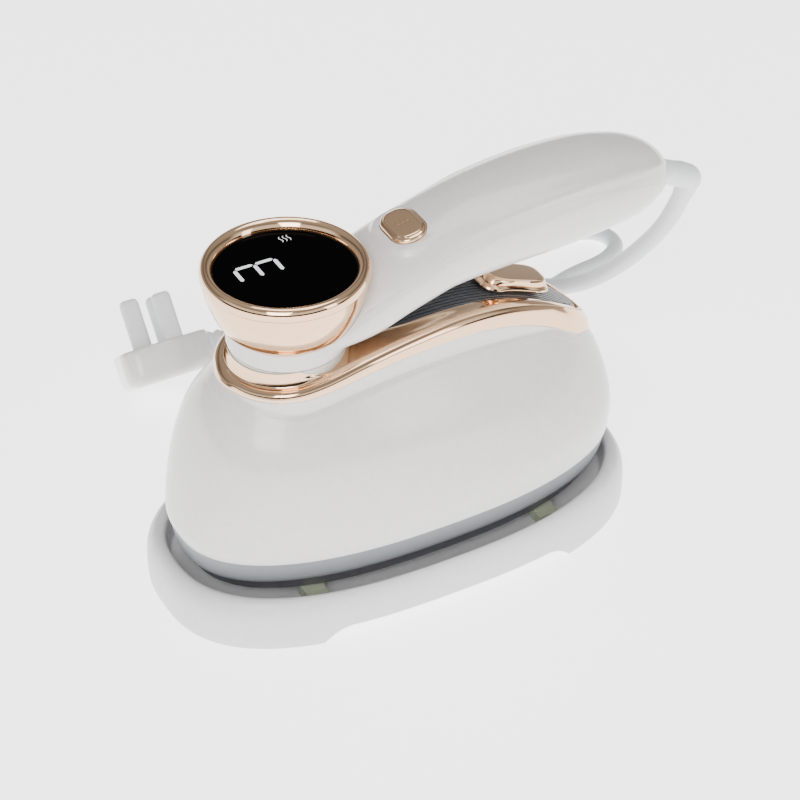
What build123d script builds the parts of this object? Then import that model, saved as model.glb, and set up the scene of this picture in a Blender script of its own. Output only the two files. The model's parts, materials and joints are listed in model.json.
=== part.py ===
from build123d import *
import os
from math import cos, sin, tan, pi, radians, copysign, sqrt

# Compact electric iron with a swivelling handle, standing in its rest tray.
# Frame: +Z up, +X from the display end to the cord end, floor at z = 0,
# origin under the middle of the iron and tray. All sizes in millimetres.

os.makedirs("parts", exist_ok=True)

# ---------------------------------------------------------------- driving dimensions
PIVOT_X = -50.0          # swivel axis of the handle, vertical
BODY_X = -9.0            # middle of the iron's body and soleplate
TRAY_X = -10.0           # middle of the rest tray
SECTION_POINTS = 28      # points on each lofted outline
OVAL_POWER = 2.4         # how square the sole, tray well and skirt ovals are
FIT = 0.05               # radial clearance of a running fit
GAP = 0.3                # clearance between bodies that don't touch
FAR = 300.0              # longer than the whole object, for cutting blocks
ABOVE_ALL = 170.0        # higher than the whole object

# Rest tray
TRAY_HALF_LENGTH, TRAY_HALF_WIDTH, TRAY_POWER = 93.2, 50.6, 2.6
TRAY_RIM_HALF_LENGTH, TRAY_RIM_HALF_WIDTH = 86.6, 45.8
TRAY_HEIGHT = 19.5
TRAY_FLOOR_LOW, TRAY_FLOOR_TOP = 7.5, 10.0
TRAY_WALL = 3.0
NOTCH_HEIGHT, NOTCH_TOP, NOTCH_FOOT = 6.0, 40.0, 50.0    # half lengths along X
TRAY_SIDE_SLOPE = 0.8    # the long sides lean in this much less than the ends
TRAY_LEVELS = [(0.0, 0.4), (6.0, 0.0), (12.0, 0.3), (16.5, 1.6), (18.8, 3.4), (TRAY_HEIGHT, 5.0)]
WELL_LEVELS = [(TRAY_FLOOR_TOP, 1.6), (15.0, 0.6), (TRAY_HEIGHT + 1.0, -0.2)]     # height, inset
PAD_LEDGE_Z, PAD_TOP_Z = 15.0, 19.0
PAD_SPOTS = ((-45.0, 34.2), (49.0, 33.3))     # distance from the body's middle, sole's half width
PAD_LENGTH, PAD_UPSTAND_LENGTH = 11.0, 8.0
PAD_LEDGE_WIDTH, PAD_LEDGE_INSET, PAD_UPSTAND_WIDTH, PAD_UPSTAND_OUT = 7.0, 3.0, 2.0, 1.4
FOOT_RADIUS, FOOT_HEIGHT = 6.0, 2.5
FOOT_X, FOOT_Y, FOOT_BOSS_RADIUS, FOOT_BOSS_OVERLAP = 60.0, 26.0, 7.5, 0.5

# Soleplate, heater and skirt
SOLE_HALF_LENGTH, SOLE_HALF_WIDTH, SOLE_THICKNESS = 81.0, 37.4, 5.0
SOLE_Z = PAD_LEDGE_Z
SOLE_CHAMFER = 1.2
STEAM_HOLE_RADIUS = 1.4
# Rows of steam holes: distance from the body's middle, number of holes, pitch
STEAM_ROWS = ((-60.0, 1, 0.0), (-46.0, 2, 10.0), (-30.0, 3, 13.0), (-12.0, 3, 15.0), (8.0, 3, 15.0))
BLOCK_HALF_LENGTH, BLOCK_HALF_WIDTH = 72.0, 31.0
BLOCK_Z, BLOCK_TOP = SOLE_Z + SOLE_THICKNESS, 31.0
CHAMBER_HALF_LENGTH, CHAMBER_HALF_WIDTH, CHAMBER_FLOOR = 34.0, 13.0, 24.0
CHAMBER_CORNER, COVER_CORNER, COVER_MARGIN_X, COVER_MARGIN_Y = 6.0, 8.0, 5.0, 4.0
ELEMENT_RADIUS, ELEMENT_OFFSET, ELEMENT_Z = 3.2, 21.0, 26.0
ELEMENT_FRONT, ELEMENT_REAR, ELEMENT_STUB = -34.0, 50.0, 5.0     # from the body's middle
GASKET_THICKNESS, COVER_THICKNESS = 1.0, 2.0
INLET_X, INLET_HEIGHT, INLET_BORE = -20.0, 4.0, 1.2
COVER_SCREW_OUT, COVER_SCREW_Y = 2.2, 7.0
COVER_SCREW_SHANK, COVER_SCREW_HEAD, COVER_SCREW_HEAD_HEIGHT, COVER_SCREW_LENGTH = 1.25, 2.5, 1.6, 9.0
THERMOSTAT_X, THERMOSTAT_RADIUS, THERMOSTAT_HEIGHT = 50.0, 7.0, 4.0
CONTACT_LENGTH, CONTACT_WIDTH, CONTACT_HEIGHT = 5.0, 20.0, 2.0
FUSE_X, FUSE_RADIUS, FUSE_HALF_LENGTH = -55.0, 2.0, 9.0
FUSE_WIRE_RADIUS, FUSE_WIRE_HALF_LENGTH = 0.5, 13.0
SKIRT_LOW, SKIRT_TOP = 22.4, 31.0
SKIRT_SHIFT, SKIRT_HALF_LENGTH, SKIRT_HALF_WIDTH = 0.35, 87.1, 41.9
SKIRT_LEVELS = [(SKIRT_LOW, 2.2), (27.0, 0.9), (SKIRT_TOP, 0.4)]     # height, inset
SKIRT_ROOM_HALF_LENGTH, SKIRT_ROOM_HALF_WIDTH = 79.0, 35.0
SHELF_LOW, SHELF_TOP, SHELF_LAP = 27.0, 29.5, 1.0

# Outer body, as level outlines: height, front end, rear end, half width, power, taper
BODY_LEVELS = [
    (31.0, -85.8, 88.5, 42.0, 2.40, 0.00),
    (40.0, -86.0, 89.5, 43.0, 2.40, 0.03),
    (50.0, -84.4, 88.2, 42.4, 2.40, 0.08),
    (60.0, -82.3, 85.4, 40.2, 2.35, 0.15),
    (70.0, -79.4, 81.0, 36.8, 2.30, 0.22),
    (79.0, -75.8, 76.0, 32.2, 2.25, 0.28),
    (86.0, -71.6, 70.5, 27.6, 2.20, 0.30),
    (92.0, -66.5, 63.0, 22.5, 2.20, 0.28),
    (97.0, -60.0, 52.0, 17.0, 2.20, 0.24),
    (100.5, -50.0, 40.0, 11.0, 2.20, 0.20),
]
BODY_SHIFT = -1.0        # the levels' zero lies this far from BODY_X
BODY_WALL = 2.4
FLOOR_HALF_LENGTH, FLOOR_HALF_WIDTH = 82.5, 39.0         # opening in the underside

# Gilt trim round the deck, as an outline in plan: distance behind the swivel axis, half width
TRIM_OUTLINE = [
    (-24.8, 0.0), (-22.6, 10.4), (-16.5, 18.6), (-8.0, 23.4), (2.0, 24.7), (16.0, 24.3),
    (34.0, 23.0), (55.0, 21.2), (76.0, 18.8), (94.0, 15.9), (107.0, 12.6), (116.0, 8.4),
    (120.6, 3.6), (121.6, 0.0),
]
# Crest of the trim in side view: distance behind the swivel axis, height
TRIM_CREST = [
    (-45.0, 96.0), (-25.0, 97.0), (0.0, 98.6), (20.0, 101.0), (40.0, 102.4), (60.0, 102.4),
    (78.0, 99.6), (95.0, 93.2), (110.0, 84.0), (124.0, 72.0), (136.0, 59.0),
]
TRIM_DEPTH = 14.0        # height of the trim band, most of it inside the body
TRIM_WIDTH = 5.0         # breadth of the trim band in plan
TRIM_ROUNDING = 2.6
DECK_DROP = 1.2          # deck lies this far below the trim's crest
DECK_THICKNESS = 2.6
DECK_ZONE_LOW, DECK_ZONE_TOP = 40.0, 140.0
RIB_PITCH, RIB_GROOVE, RIB_DEPTH, RIB_COUNT = 1.7, 0.6, 0.5, 18
SEAT_RADIUS, SEAT_Z = 23.2, 97.6      # round seat for the collar in the deck
SEAT_MARGIN = 1.2        # plain ring round the seat, without grooves
FLOOR_RING_LOW = 91.0

# Swivel
COLLAR_RADIUS, COLLAR_TOP_RADIUS = 22.0, 20.6
COLLAR_LOW, COLLAR_TOP = 102.2, 108.6
POST_RADIUS, POST_BORE = 13.0, 9.5
POST_LOW, POST_TOP = 89.0, 107.6
BUSH_WALL = 1.5
COLLAR_FLOOR = 2.4
COLLAR_POCKET = 19.2
BUSH_FLANGE = 20.8
WASHER_Z, WASHER_THICKNESS, WASHER_RADIUS = COLLAR_LOW + COLLAR_FLOOR, 0.8, 19.0
RETAINER_THICKNESS, RETAINER_RADIUS = 1.2, 18.0
POST_FLANGE_RADIUS, POST_FLANGE_THICKNESS = 17.6, 2.0
PIVOT_SCREW_CIRCLE, PIVOT_SCREW_HEAD, PIVOT_SCREW_HEAD_HEIGHT = 15.3, 2.0, 1.4
PIVOT_SCREW_SHANK, PIVOT_SCREW_LENGTH = 1.1, 7.0

# Display head
BOWL_LOW, BOWL_TOP, BOWL_LOW_RADIUS, BOWL_TOP_RADIUS = 108.6, 126.2, 20.4, 27.8
BOWL_MIDDLE, BOWL_MIDDLE_RADIUS = 114.2, 24.4
BOWL_WALL, BOWL_FLOOR = 1.8, 1.8
BEZEL_TOP, BEZEL_INNER, BEZEL_OUTER = 132.6, 24.4, 28.6
BEZEL_ROUNDING, BEZEL_LOW_ROUNDING, BEZEL_LEDGE = 1.9, 1.28, 1.6
WINDOW_Z, WINDOW_THICKNESS = 128.4, 2.0
BOARD_THICKNESS = 1.6
DISPLAY_BOARD_Z, DISPLAY_BOARD_RADIUS = 120.0, 22.4
DISPLAY_POST_CIRCLE, DISPLAY_POST_RADIUS, DISPLAY_POST_ANGLES = 17.0, 2.2, (60.0, 180.0, 300.0)
GUIDE_LENGTH, GUIDE_WIDTH, GUIDE_CORNER = 26.0, 30.0, 2.0
GUIDE_SLOT_LENGTH, GUIDE_SLOT_WIDTH, GUIDE_SLOT_X, GUIDE_SLOT_Y = 8.0, 1.8, 7.0, 7.5
LOOM_RADIUS = 2.2
LOOM_ROUTE = [
    Vector(PIVOT_X, 0, 92.0), Vector(PIVOT_X, 0, 116.0), Vector(PIVOT_X + 46.0, 0, 117.0),
    Vector(PIVOT_X + 54.0, 10.0, 120.0), Vector(PIVOT_X + 92.0, 10.0, 124.0),
]

# Handle, as cross-sections: distance behind the swivel axis, middle height, half width,
# height above the middle, depth below the middle
HANDLE_SECTIONS = [
    (2.0, 107.5, 17.0, 7.0, 3.6),
    (14.0, 109.5, 20.0, 9.0, 5.4),
    (26.0, 113.0, 20.8, 11.6, 8.4),
    (40.0, 118.0, 20.6, 13.4, 11.4),
    (58.0, 122.6, 20.2, 15.2, 13.4),
    (78.0, 126.0, 20.4, 16.6, 15.6),
    (100.0, 127.8, 20.8, 17.0, 16.6),
    (120.0, 128.4, 19.8, 16.4, 16.0),
    (134.0, 128.0, 17.4, 14.6, 14.4),
    (143.0, 127.8, 14.6, 12.2, 11.4),
    (149.2, 127.0, 10.2, 8.5, 8.2),
    (152.0, 126.6, 6.6, 5.4, 5.2),
]
HANDLE_POWER = 2.25
HANDLE_WALL = 2.4
SHUT_LINE = 0.1          # fitting gap between the shells and the display head
HANDLE_SCREWS = (64.0, 84.0)          # distance behind the swivel axis
SCREW_SEAT, SCREW_SPLIT, BOSS_RADIUS = 114.8, 128.0, 4.6
SCREW_SHANK, SCREW_HEAD, SCREW_HEAD_HEIGHT, SCREW_LENGTH = 1.4, 2.7, 2.0, 18.0
# Parting line between the handle's shells in side view: distance behind the axis, height
PARTING_LINE = [
    (-40.0, 113.0), (10.0, 114.6), (30.0, 120.0), (50.0, 127.6), (70.0, 133.6), (90.0, 136.6),
    (110.0, 136.8), (130.0, 133.4), (146.0, 128.4), (160.0, 124.4),
]

# Steam button on the handle
BUTTON_X, BUTTON_Z, BUTTON_TILT = 47.0, 132.4, -11.0     # distance behind the axis, seat height
BUTTON_LENGTH, BUTTON_WIDTH, BUTTON_CORNER = 13.6, 19.0, 5.2
BUTTON_HEIGHT, BUTTON_TRAVEL = 6.6, 1.6
BUTTON_PAD_LENGTH, BUTTON_PAD_WIDTH, BUTTON_PAD_HEIGHT, PAD_SKIRT = 19.6, 25.0, 1.8, 8.0
BUTTON_PAD_CORNER, BUTTON_HOLE_DEPTH = 8.6, 20.0
BUTTON_BOARD_LENGTH, BUTTON_BOARD_WIDTH = 16.0, 24.0
CAP_LOW, BUTTON_EDGE = -2.4, 0.8      # underside of the cap against the seat, edge rounding
PLUNGER_RADIUS, PLUNGER_LENGTH = 2.2, 2.4
SWITCH_SIZE = 6.0
SPRING_RADIUS, WIRE_RADIUS, SPRING_TURNS = 5.2, 0.35, 4

# Other pieces inside the handle, distances behind the swivel axis
CONTROL_X, CONTROL_Z, CONTROL_LENGTH, CONTROL_WIDTH = 111.0, 129.4, 36.0, 22.0
CHIP_SPOTS = ((-11.0, -5.0), (-2.0, 5.0), (9.0, -3.0))
CHIP_LENGTH, CHIP_WIDTH, CHIP_HEIGHT, CHIP_SINK = 6.0, 5.0, 3.7, 0.1
TERMINAL_X, TERMINAL_Z = 122.0, 121.0
TERMINAL_LENGTH, TERMINAL_WIDTH, TERMINAL_HEIGHT = 12.0, 16.0, 8.0
TERMINAL_WAYS, TERMINAL_BORE = (-5.0, 0.0, 5.0), 1.5
CLAMP_X, CLAMP_Z = 136.0, 130.5
CLAMP_LENGTH, CLAMP_WIDTH, CLAMP_HEIGHT = 6.0, 18.0, 12.0
LOOM_BEND = 6.0

# Water filler on the deck
FILLER_X = 89.5          # distance behind the swivel axis
FILLER_LENGTH, FILLER_WIDTH, FILLER_TOP_LENGTH, FILLER_TOP_WIDTH = 29.6, 15.6, 18.4, 11.4
FILLER_HEIGHT, FILLER_TILT, FILLER_Z = 4.6, 20.0, 94.2
FILLER_POWER, FILLER_WAIST = 3.6, 0.09
FILLER_STEM_RADIUS, FILLER_STEM_LENGTH = 4.0, 7.0
FILLER_BASE, FILLER_LIFT, FILLER_STEP_X, FILLER_STEP_Y = 1.6, 0.6, 2.0, 1.0
FILLER_STEP_CORNER, FILLER_TOP_CORNER, FILLER_POINTS = 5.4, 4.0, 32

# Pump ahead of the tank
PUMP_FRONT, PUMP_REAR, PUMP_Z, PUMP_RADIUS = -62.0, -30.0, 56.0, 9.0
PUMP_INLET, PUMP_OUTLET_X, PUMP_OUTLET = 5.0, 4.0, 2.0
HOSE_RADIUS, HOSE_BORE, HOSE_DROP, HOSE_SWING = 3.4, 2.0, 6.0, 9.0
HOSE_END = 4.5           # straight end of the hose on the heater's inlet
TANK_FRONT, TANK_LENGTH, TANK_WIDTH, TANK_Z, TANK_HEIGHT = -17.0, 72.0, 60.0, 62.0, 38.0
TANK_CLEARANCE, TANK_WALL = 1.0, 1.8
NECK_DEPTH, NECK_WALL = 24.0, 1.6
SEAL_WALL, SEAL_LENGTH = 1.6, 7.0

# Mains lead
CORD_DIAMETER = 7.0
BOOT_RADIUS, BOOT_END_RADIUS, BOOT_INSIDE = 4.6, 3.9, 18.0
BOOT_ROOT = Vector(99.0, 0.0, 125.2)
BOOT_CORNER = Vector(116.6, 0.0, 117.0)
CORD_EXIT = Vector(116.8, 4.6, 107.4)
COIL_CENTRE = Vector(60.0, 110.0, 7.7)
COIL_RADIUS = 36.0       # middle of the turns
COIL_TURNS_ACROSS, COIL_LAYERS = 3, 2
TIE_ANGLE, TIE_WIDTH, TIE_THICKNESS, TIE_CLEARANCE = 208.0, 7.0, 0.5, 0.3
PLUG_CENTRE = Vector(-50.7, 109.1, 20.6)
PLUG_ROLL, PLUG_YAW = -39.5, -11.5        # the plug leans on its lead, pins up and away
PLUG_LENGTH, PLUG_WIDTH, PLUG_HEIGHT = 36.8, 38.0, 14.8
EARTH_X, EARTH_LENGTH = -7.2, 18.6
LIVE_X, LIVE_Y, LIVE_LENGTH = 4.3, 11.1, 16.6
PIN_LENGTH, PIN_WIDTH, PIN_CORNER, PIN_TIP = 6.3, 4.6, 1.8, 1.6
PLUG_CUT, PLUG_SHOULDER_LENGTH, PLUG_NECK = 4.0, 15.0, 8.0       # corners of the plug's outline
PLUG_SIDE_ROUNDING, PLUG_BACK_ROUNDING = 2.6, 3.0
RELIEF_LENGTH, RELIEF_RADIUS, RELIEF_END_RADIUS, RELIEF_RIBS = 20.0, 6.2, 4.2, 5
RIB_START, RIB_STEP, RIB_LENGTH, RIB_TAPER, RELIEF_GROOVE = 1.2, 3.64, 2.0, 0.3, 0.8
RUN_SHARE = 0.45         # part of a straight run that an arc may use up
PLUG_ALONG = Vector(1, 0, 0).rotate(Axis.Z, PLUG_YAW).rotate(Axis.X, PLUG_ROLL)
RELIEF_ROOT = PLUG_CENTRE + PLUG_ALONG * (PLUG_LENGTH / 2)
RELIEF_TIP = RELIEF_ROOT + PLUG_ALONG * RELIEF_LENGTH

LEAD_ROUTE = [
    CORD_EXIT,
    Vector(118.2, 12.5, 92.0),
    Vector(120.4, 26.5, 73.0),
    Vector(119.6, 44.0, 51.0),
    Vector(116.0, 63.0, 31.0),
    Vector(110.8, 80.0, 19.0),
    Vector(105.0, 95.5, 12.8),
    Vector(103.0, 110.0, 11.2),
]
TAIL_ROUTE = [
    Vector(90.4, 79.6, 4.2),
    Vector(98.8, 88.0, 4.0),
    Vector(113.5, 96.5, 3.7),
    Vector(132.0, 103.0, 3.7),
    Vector(150.0, 104.5, 3.7),
    Vector(162.5, 112.0, 3.7),
    Vector(161.0, 125.5, 3.7),
    Vector(146.0, 131.5, 3.8),
    Vector(128.0, 130.5, 9.6),
    Vector(112.0, 131.3, 19.2),
    Vector(89.0, 129.6, 21.2),
    Vector(56.0, 121.5, 20.8),
    Vector(20.0, 109.0, 22.4),
    RELIEF_TIP,
]
LOOP_FOLDS = {4: 16.0, 5: 12.0, 6: 12.0}    # smallest arcs, where the loose loop folds back


# ---------------------------------------------------------------- helpers
def superellipse(half_length, half_width, power, taper=0.0, count=SECTION_POINTS):
    """Points round a rounded oval that narrows towards +X by its taper."""
    points = []
    for step in range(count):
        angle = 2 * pi * step / count
        along = copysign(abs(cos(angle)) ** (2 / power), cos(angle))
        across = copysign(abs(sin(angle)) ** (2 / power), sin(angle))
        points.append((half_length * along, half_width * across * (1 - taper * along)))
    return points


def closed_face(points):
    """Face inside a smooth closed curve through the points."""
    return make_face(Spline(*points, periodic=True))


def oval_face(x, z, half_length, half_width, power, taper=0.0):
    """Level oval face centred at x, at height z."""
    outline = superellipse(half_length, half_width, power, taper)
    return closed_face([(x + px, py, z) for px, py in outline])


def oval_prism(x, low, high, half_length, half_width, power=OVAL_POWER):
    """Upright oval block."""
    return extrude(oval_face(x, low, half_length, half_width, power), amount=high - low, dir=(0, 0, 1))


def body_solid(inset):
    """The iron's outer form, or the same form moved inwards by the inset."""
    faces = []
    for index, (z, front, rear, half_width, power, taper) in enumerate(BODY_LEVELS):
        rise = index / (len(BODY_LEVELS) - 1)
        middle = BODY_X + BODY_SHIFT + (front + rear) / 2
        half_length = (rear - front) / 2 - inset
        level = z - inset * rise * rise
        faces.append(oval_face(middle, level, half_length, half_width - inset, power, taper))
    return loft(faces)


def below_curve(curve, drop=0.0):
    """Everything below a side-view curve given behind the swivel axis."""
    points = [(PIVOT_X + x, -FAR, z - drop) for x, z in curve]
    top = Spline(*points)
    first, last = points[0], points[-1]
    walls = Polyline(last, (last[0], -FAR, -FAR), (first[0], -FAR, -FAR), first)
    return extrude(make_face(top + walls), amount=2 * FAR, dir=(0, 1, 0))


def trim_prism(inset, low, high):
    """Upright block with the trim's plan outline, moved inwards by the inset."""
    outline = TRIM_OUTLINE + [(x, -y) for x, y in reversed(TRIM_OUTLINE[1:-1])]
    points = []
    for index, (x, y) in enumerate(outline):
        before, after = outline[index - 1], outline[(index + 1) % len(outline)]
        along_x, along_y = after[0] - before[0], after[1] - before[1]
        length = sqrt(along_x ** 2 + along_y ** 2)
        points.append((PIVOT_X + x + inset * along_y / length, y - inset * along_x / length, low))
    return extrude(closed_face(points), amount=high - low, dir=(0, 0, 1))


def disc(x, low, high, radius, bore=0.0):
    """Upright cylinder or tube on the XZ plane."""
    height = high - low
    shape = Pos(x, 0, low + height / 2) * Cylinder(radius, height)
    if bore:
        shape -= Pos(x, 0, low + height / 2) * Cylinder(bore, height + 2)
    return shape


def rod(start, end, start_radius, end_radius=None):
    """Straight round bar, tapered if the end radius differs."""
    end_radius = start_radius if end_radius is None else end_radius
    start, end = Vector(start), Vector(end)
    length = (end - start).length
    plane = Plane(origin=start, z_dir=end - start)
    if abs(end_radius - start_radius) < 0.001:
        return plane * Pos(0, 0, length / 2) * Cylinder(start_radius, length)
    return plane * Pos(0, 0, length / 2) * Cone(start_radius, end_radius, length)


def rounded_block(length, width, height, corner):
    """Block with rounded upright corners, standing on z = 0."""
    return extrude(RectangleRounded(length, width, corner), amount=height)


def cord_tube(route, folds, name):
    """Round cord along straight runs joined by arcs as large as the runs allow."""
    radii = []
    for index in range(1, len(route) - 1):
        before = route[index] - route[index - 1]
        after = route[index + 1] - route[index]
        turn = before.get_angle(after)
        radius = RUN_SHARE * min(before.length, after.length) / tan(radians(turn) / 2)
        radii.append(max(radius, folds.get(index, 0.0)))
    print(name, "radii", [round(radius, 1) for radius in radii])
    path = FilletPolyline(*route, radius=radii)
    section = Plane(origin=route[0], z_dir=route[1] - route[0]) * Circle(CORD_DIAMETER / 2)
    tube = sweep(section, path=path)
    expected = pi * (CORD_DIAMETER / 2) ** 2 * path.length
    print(name, "length", round(path.length, 1), "volume ratio", round(tube.volume / expected, 4))
    return tube


def save(name, shape):
    """Write one node."""
    export_step(shape, f"parts/{name}.step")


def handle_frame(distance, height, tilt):
    """Place on the handle's middle plane, behind the swivel axis."""
    return Pos(PIVOT_X + distance, 0, height) * Rot(0, tilt, 0)


# ---------------------------------------------------------------- rest tray
def build_tray():
    outer = loft([
        oval_face(TRAY_X, z, TRAY_HALF_LENGTH - inset, TRAY_HALF_WIDTH - inset * TRAY_SIDE_SLOPE,
                  TRAY_POWER)
        for z, inset in TRAY_LEVELS
    ])
    well = loft([
        oval_face(TRAY_X, z, TRAY_RIM_HALF_LENGTH - inset, TRAY_RIM_HALF_WIDTH - inset, OVAL_POWER)
        for z, inset in WELL_LEVELS
    ])
    hollow = oval_prism(TRAY_X, -1.0, TRAY_FLOOR_LOW, TRAY_HALF_LENGTH - TRAY_WALL,
                        TRAY_HALF_WIDTH - TRAY_WALL, TRAY_POWER)
    notch_profile = Polyline(
        (TRAY_X - NOTCH_FOOT, -FAR, -1.0), (TRAY_X - NOTCH_TOP, -FAR, NOTCH_HEIGHT),
        (TRAY_X + NOTCH_TOP, -FAR, NOTCH_HEIGHT), (TRAY_X + NOTCH_FOOT, -FAR, -1.0), close=True)
    notch = extrude(make_face(notch_profile), amount=2 * FAR, dir=(0, 1, 0))
    tray = outer - well - hollow - notch
    feet = []
    boss_height = TRAY_FLOOR_LOW + FOOT_BOSS_OVERLAP - FOOT_HEIGHT
    for x in (-FOOT_X, FOOT_X):
        for side in (-1, 1):
            spot = Pos(TRAY_X + x, side * FOOT_Y, 0)
            tray += spot * Pos(0, 0, FOOT_HEIGHT + boss_height / 2) * Cylinder(
                FOOT_BOSS_RADIUS, boss_height)
            feet.append(spot * Pos(0, 0, FOOT_HEIGHT / 2) * Cylinder(FOOT_RADIUS, FOOT_HEIGHT))
    pads = []
    for x, half_width in PAD_SPOTS:
        for side in (-1, 1):
            ledge = Box(PAD_LENGTH, PAD_LEDGE_WIDTH, PAD_LEDGE_Z - TRAY_FLOOR_TOP)
            upstand = Box(PAD_UPSTAND_LENGTH, PAD_UPSTAND_WIDTH, PAD_TOP_Z - TRAY_FLOOR_TOP)
            centre_y = side * (half_width - PAD_LEDGE_INSET)
            pad = Pos(BODY_X + x, centre_y, (PAD_LEDGE_Z + TRAY_FLOOR_TOP) / 2) * ledge
            pad += Pos(BODY_X + x, side * (half_width + PAD_UPSTAND_OUT),
                       (PAD_TOP_Z + TRAY_FLOOR_TOP) / 2) * upstand
            pads.append(pad)
    save("stand_tray", tray)
    save("stand_feet", Compound(feet))
    save("stand_pads", Compound(pads))


# ---------------------------------------------------------------- soleplate and heater
def screw(x, y, seat, shank_radius, head_radius, head_height, length):
    """Pan-head screw standing on its seat, shank downwards."""
    head = Pos(x, y, seat + head_height / 2) * Cylinder(head_radius, head_height)
    shank = Pos(x, y, seat - length / 2) * Cylinder(shank_radius, length)
    return head + shank


def build_heater():
    sole = oval_prism(BODY_X, SOLE_Z, SOLE_Z + SOLE_THICKNESS, SOLE_HALF_LENGTH, SOLE_HALF_WIDTH)
    rim_edges = sole.edges().group_by(Axis.Z)[0]
    sole = chamfer(rim_edges, SOLE_CHAMFER)
    for row, count, pitch in STEAM_ROWS:
        for hole in range(count):
            y = (hole - (count - 1) / 2) * pitch
            sole -= Pos(BODY_X + row, y, SOLE_Z) * Cylinder(STEAM_HOLE_RADIUS, 4 * SOLE_THICKNESS)
    block = oval_prism(BODY_X, BLOCK_Z, BLOCK_TOP, BLOCK_HALF_LENGTH, BLOCK_HALF_WIDTH)
    chamber = Pos(BODY_X, 0, CHAMBER_FLOOR) * rounded_block(
        2 * CHAMBER_HALF_LENGTH, 2 * CHAMBER_HALF_WIDTH, BLOCK_TOP, CHAMBER_CORNER)
    bend_x, rear_x = BODY_X + ELEMENT_FRONT, BODY_X + ELEMENT_REAR
    leg_a = rod((bend_x, ELEMENT_OFFSET, ELEMENT_Z), (rear_x, ELEMENT_OFFSET, ELEMENT_Z), ELEMENT_RADIUS)
    leg_b = rod((bend_x, -ELEMENT_OFFSET, ELEMENT_Z), (rear_x, -ELEMENT_OFFSET, ELEMENT_Z), ELEMENT_RADIUS)
    ring = Pos(bend_x, 0, ELEMENT_Z) * Torus(ELEMENT_OFFSET, ELEMENT_RADIUS)
    front_half = Pos(bend_x - FAR / 2, 0, ELEMENT_Z) * Box(FAR, FAR, 4 * ELEMENT_RADIUS)
    element = leg_a + leg_b + (ring & front_half)
    for side in (-1, 1):
        element += rod((rear_x, side * ELEMENT_OFFSET, ELEMENT_Z),
                       (rear_x, side * ELEMENT_OFFSET, BLOCK_TOP + ELEMENT_STUB), ELEMENT_RADIUS)
    block = block - chamber - element
    cover_size = (2 * (CHAMBER_HALF_LENGTH + COVER_MARGIN_X), 2 * (CHAMBER_HALF_WIDTH + COVER_MARGIN_Y))
    gasket = Pos(BODY_X, 0, BLOCK_TOP) * rounded_block(*cover_size, GASKET_THICKNESS, COVER_CORNER)
    gasket -= chamber
    cover_z = BLOCK_TOP + GASKET_THICKNESS
    cover = Pos(BODY_X, 0, cover_z) * rounded_block(*cover_size, COVER_THICKNESS, COVER_CORNER)
    inlet_top = cover_z + COVER_THICKNESS + INLET_HEIGHT
    cover += disc(BODY_X + INLET_X, cover_z, inlet_top, HOSE_BORE)
    cover -= disc(BODY_X + INLET_X, BLOCK_TOP, inlet_top + GASKET_THICKNESS, INLET_BORE)
    screws = []
    screw_x = CHAMBER_HALF_LENGTH + COVER_SCREW_OUT
    for x in (-screw_x, screw_x):
        for y in (-COVER_SCREW_Y, COVER_SCREW_Y):
            screws.append(screw(BODY_X + x, y, cover_z + COVER_THICKNESS, COVER_SCREW_SHANK,
                                COVER_SCREW_HEAD, COVER_SCREW_HEAD_HEIGHT, COVER_SCREW_LENGTH))
    screws = Compound(screws)
    save("soleplate", sole)
    save("heater_block", block - screws)
    save("heating_element", element)
    save("chamber_gasket", gasket - screws)
    save("chamber_cover", cover - screws)
    save("chamber_screws", screws)

    sensor_x, sensor_top = BODY_X + THERMOSTAT_X, BLOCK_TOP + THERMOSTAT_HEIGHT
    sensor = disc(sensor_x, BLOCK_TOP, sensor_top, THERMOSTAT_RADIUS)
    sensor += Pos(sensor_x, 0, sensor_top + CONTACT_HEIGHT / 2) * Box(
        CONTACT_LENGTH, CONTACT_WIDTH, CONTACT_HEIGHT)
    save("thermostat", sensor)
    fuse_x, fuse_z = BODY_X + FUSE_X, BLOCK_TOP + FUSE_RADIUS
    fuse = rod((fuse_x, -FUSE_HALF_LENGTH, fuse_z), (fuse_x, FUSE_HALF_LENGTH, fuse_z), FUSE_RADIUS)
    fuse += rod((fuse_x, -FUSE_WIRE_HALF_LENGTH, fuse_z), (fuse_x, FUSE_WIRE_HALF_LENGTH, fuse_z),
                FUSE_WIRE_RADIUS)
    save("thermal_fuse", fuse)

    skirt = loft([
        oval_face(BODY_X + SKIRT_SHIFT, z, SKIRT_HALF_LENGTH - inset, SKIRT_HALF_WIDTH - inset, OVAL_POWER)
        for z, inset in SKIRT_LEVELS
    ])
    skirt -= oval_prism(BODY_X, 0.0, ABOVE_ALL, SKIRT_ROOM_HALF_LENGTH, SKIRT_ROOM_HALF_WIDTH)
    shelf = oval_prism(BODY_X, SHELF_LOW, SHELF_TOP, SKIRT_ROOM_HALF_LENGTH + SHELF_LAP,
                       SKIRT_ROOM_HALF_WIDTH + SHELF_LAP)
    shelf -= oval_prism(BODY_X, 0.0, ABOVE_ALL, BLOCK_HALF_LENGTH, BLOCK_HALF_WIDTH)
    save("heat_skirt", skirt + shelf)


# ---------------------------------------------------------------- body, tank and deck
def filler_axis():
    """Place of the water filler, upright on the sloping deck."""
    return handle_frame(FILLER_X, FILLER_Z, FILLER_TILT)


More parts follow.
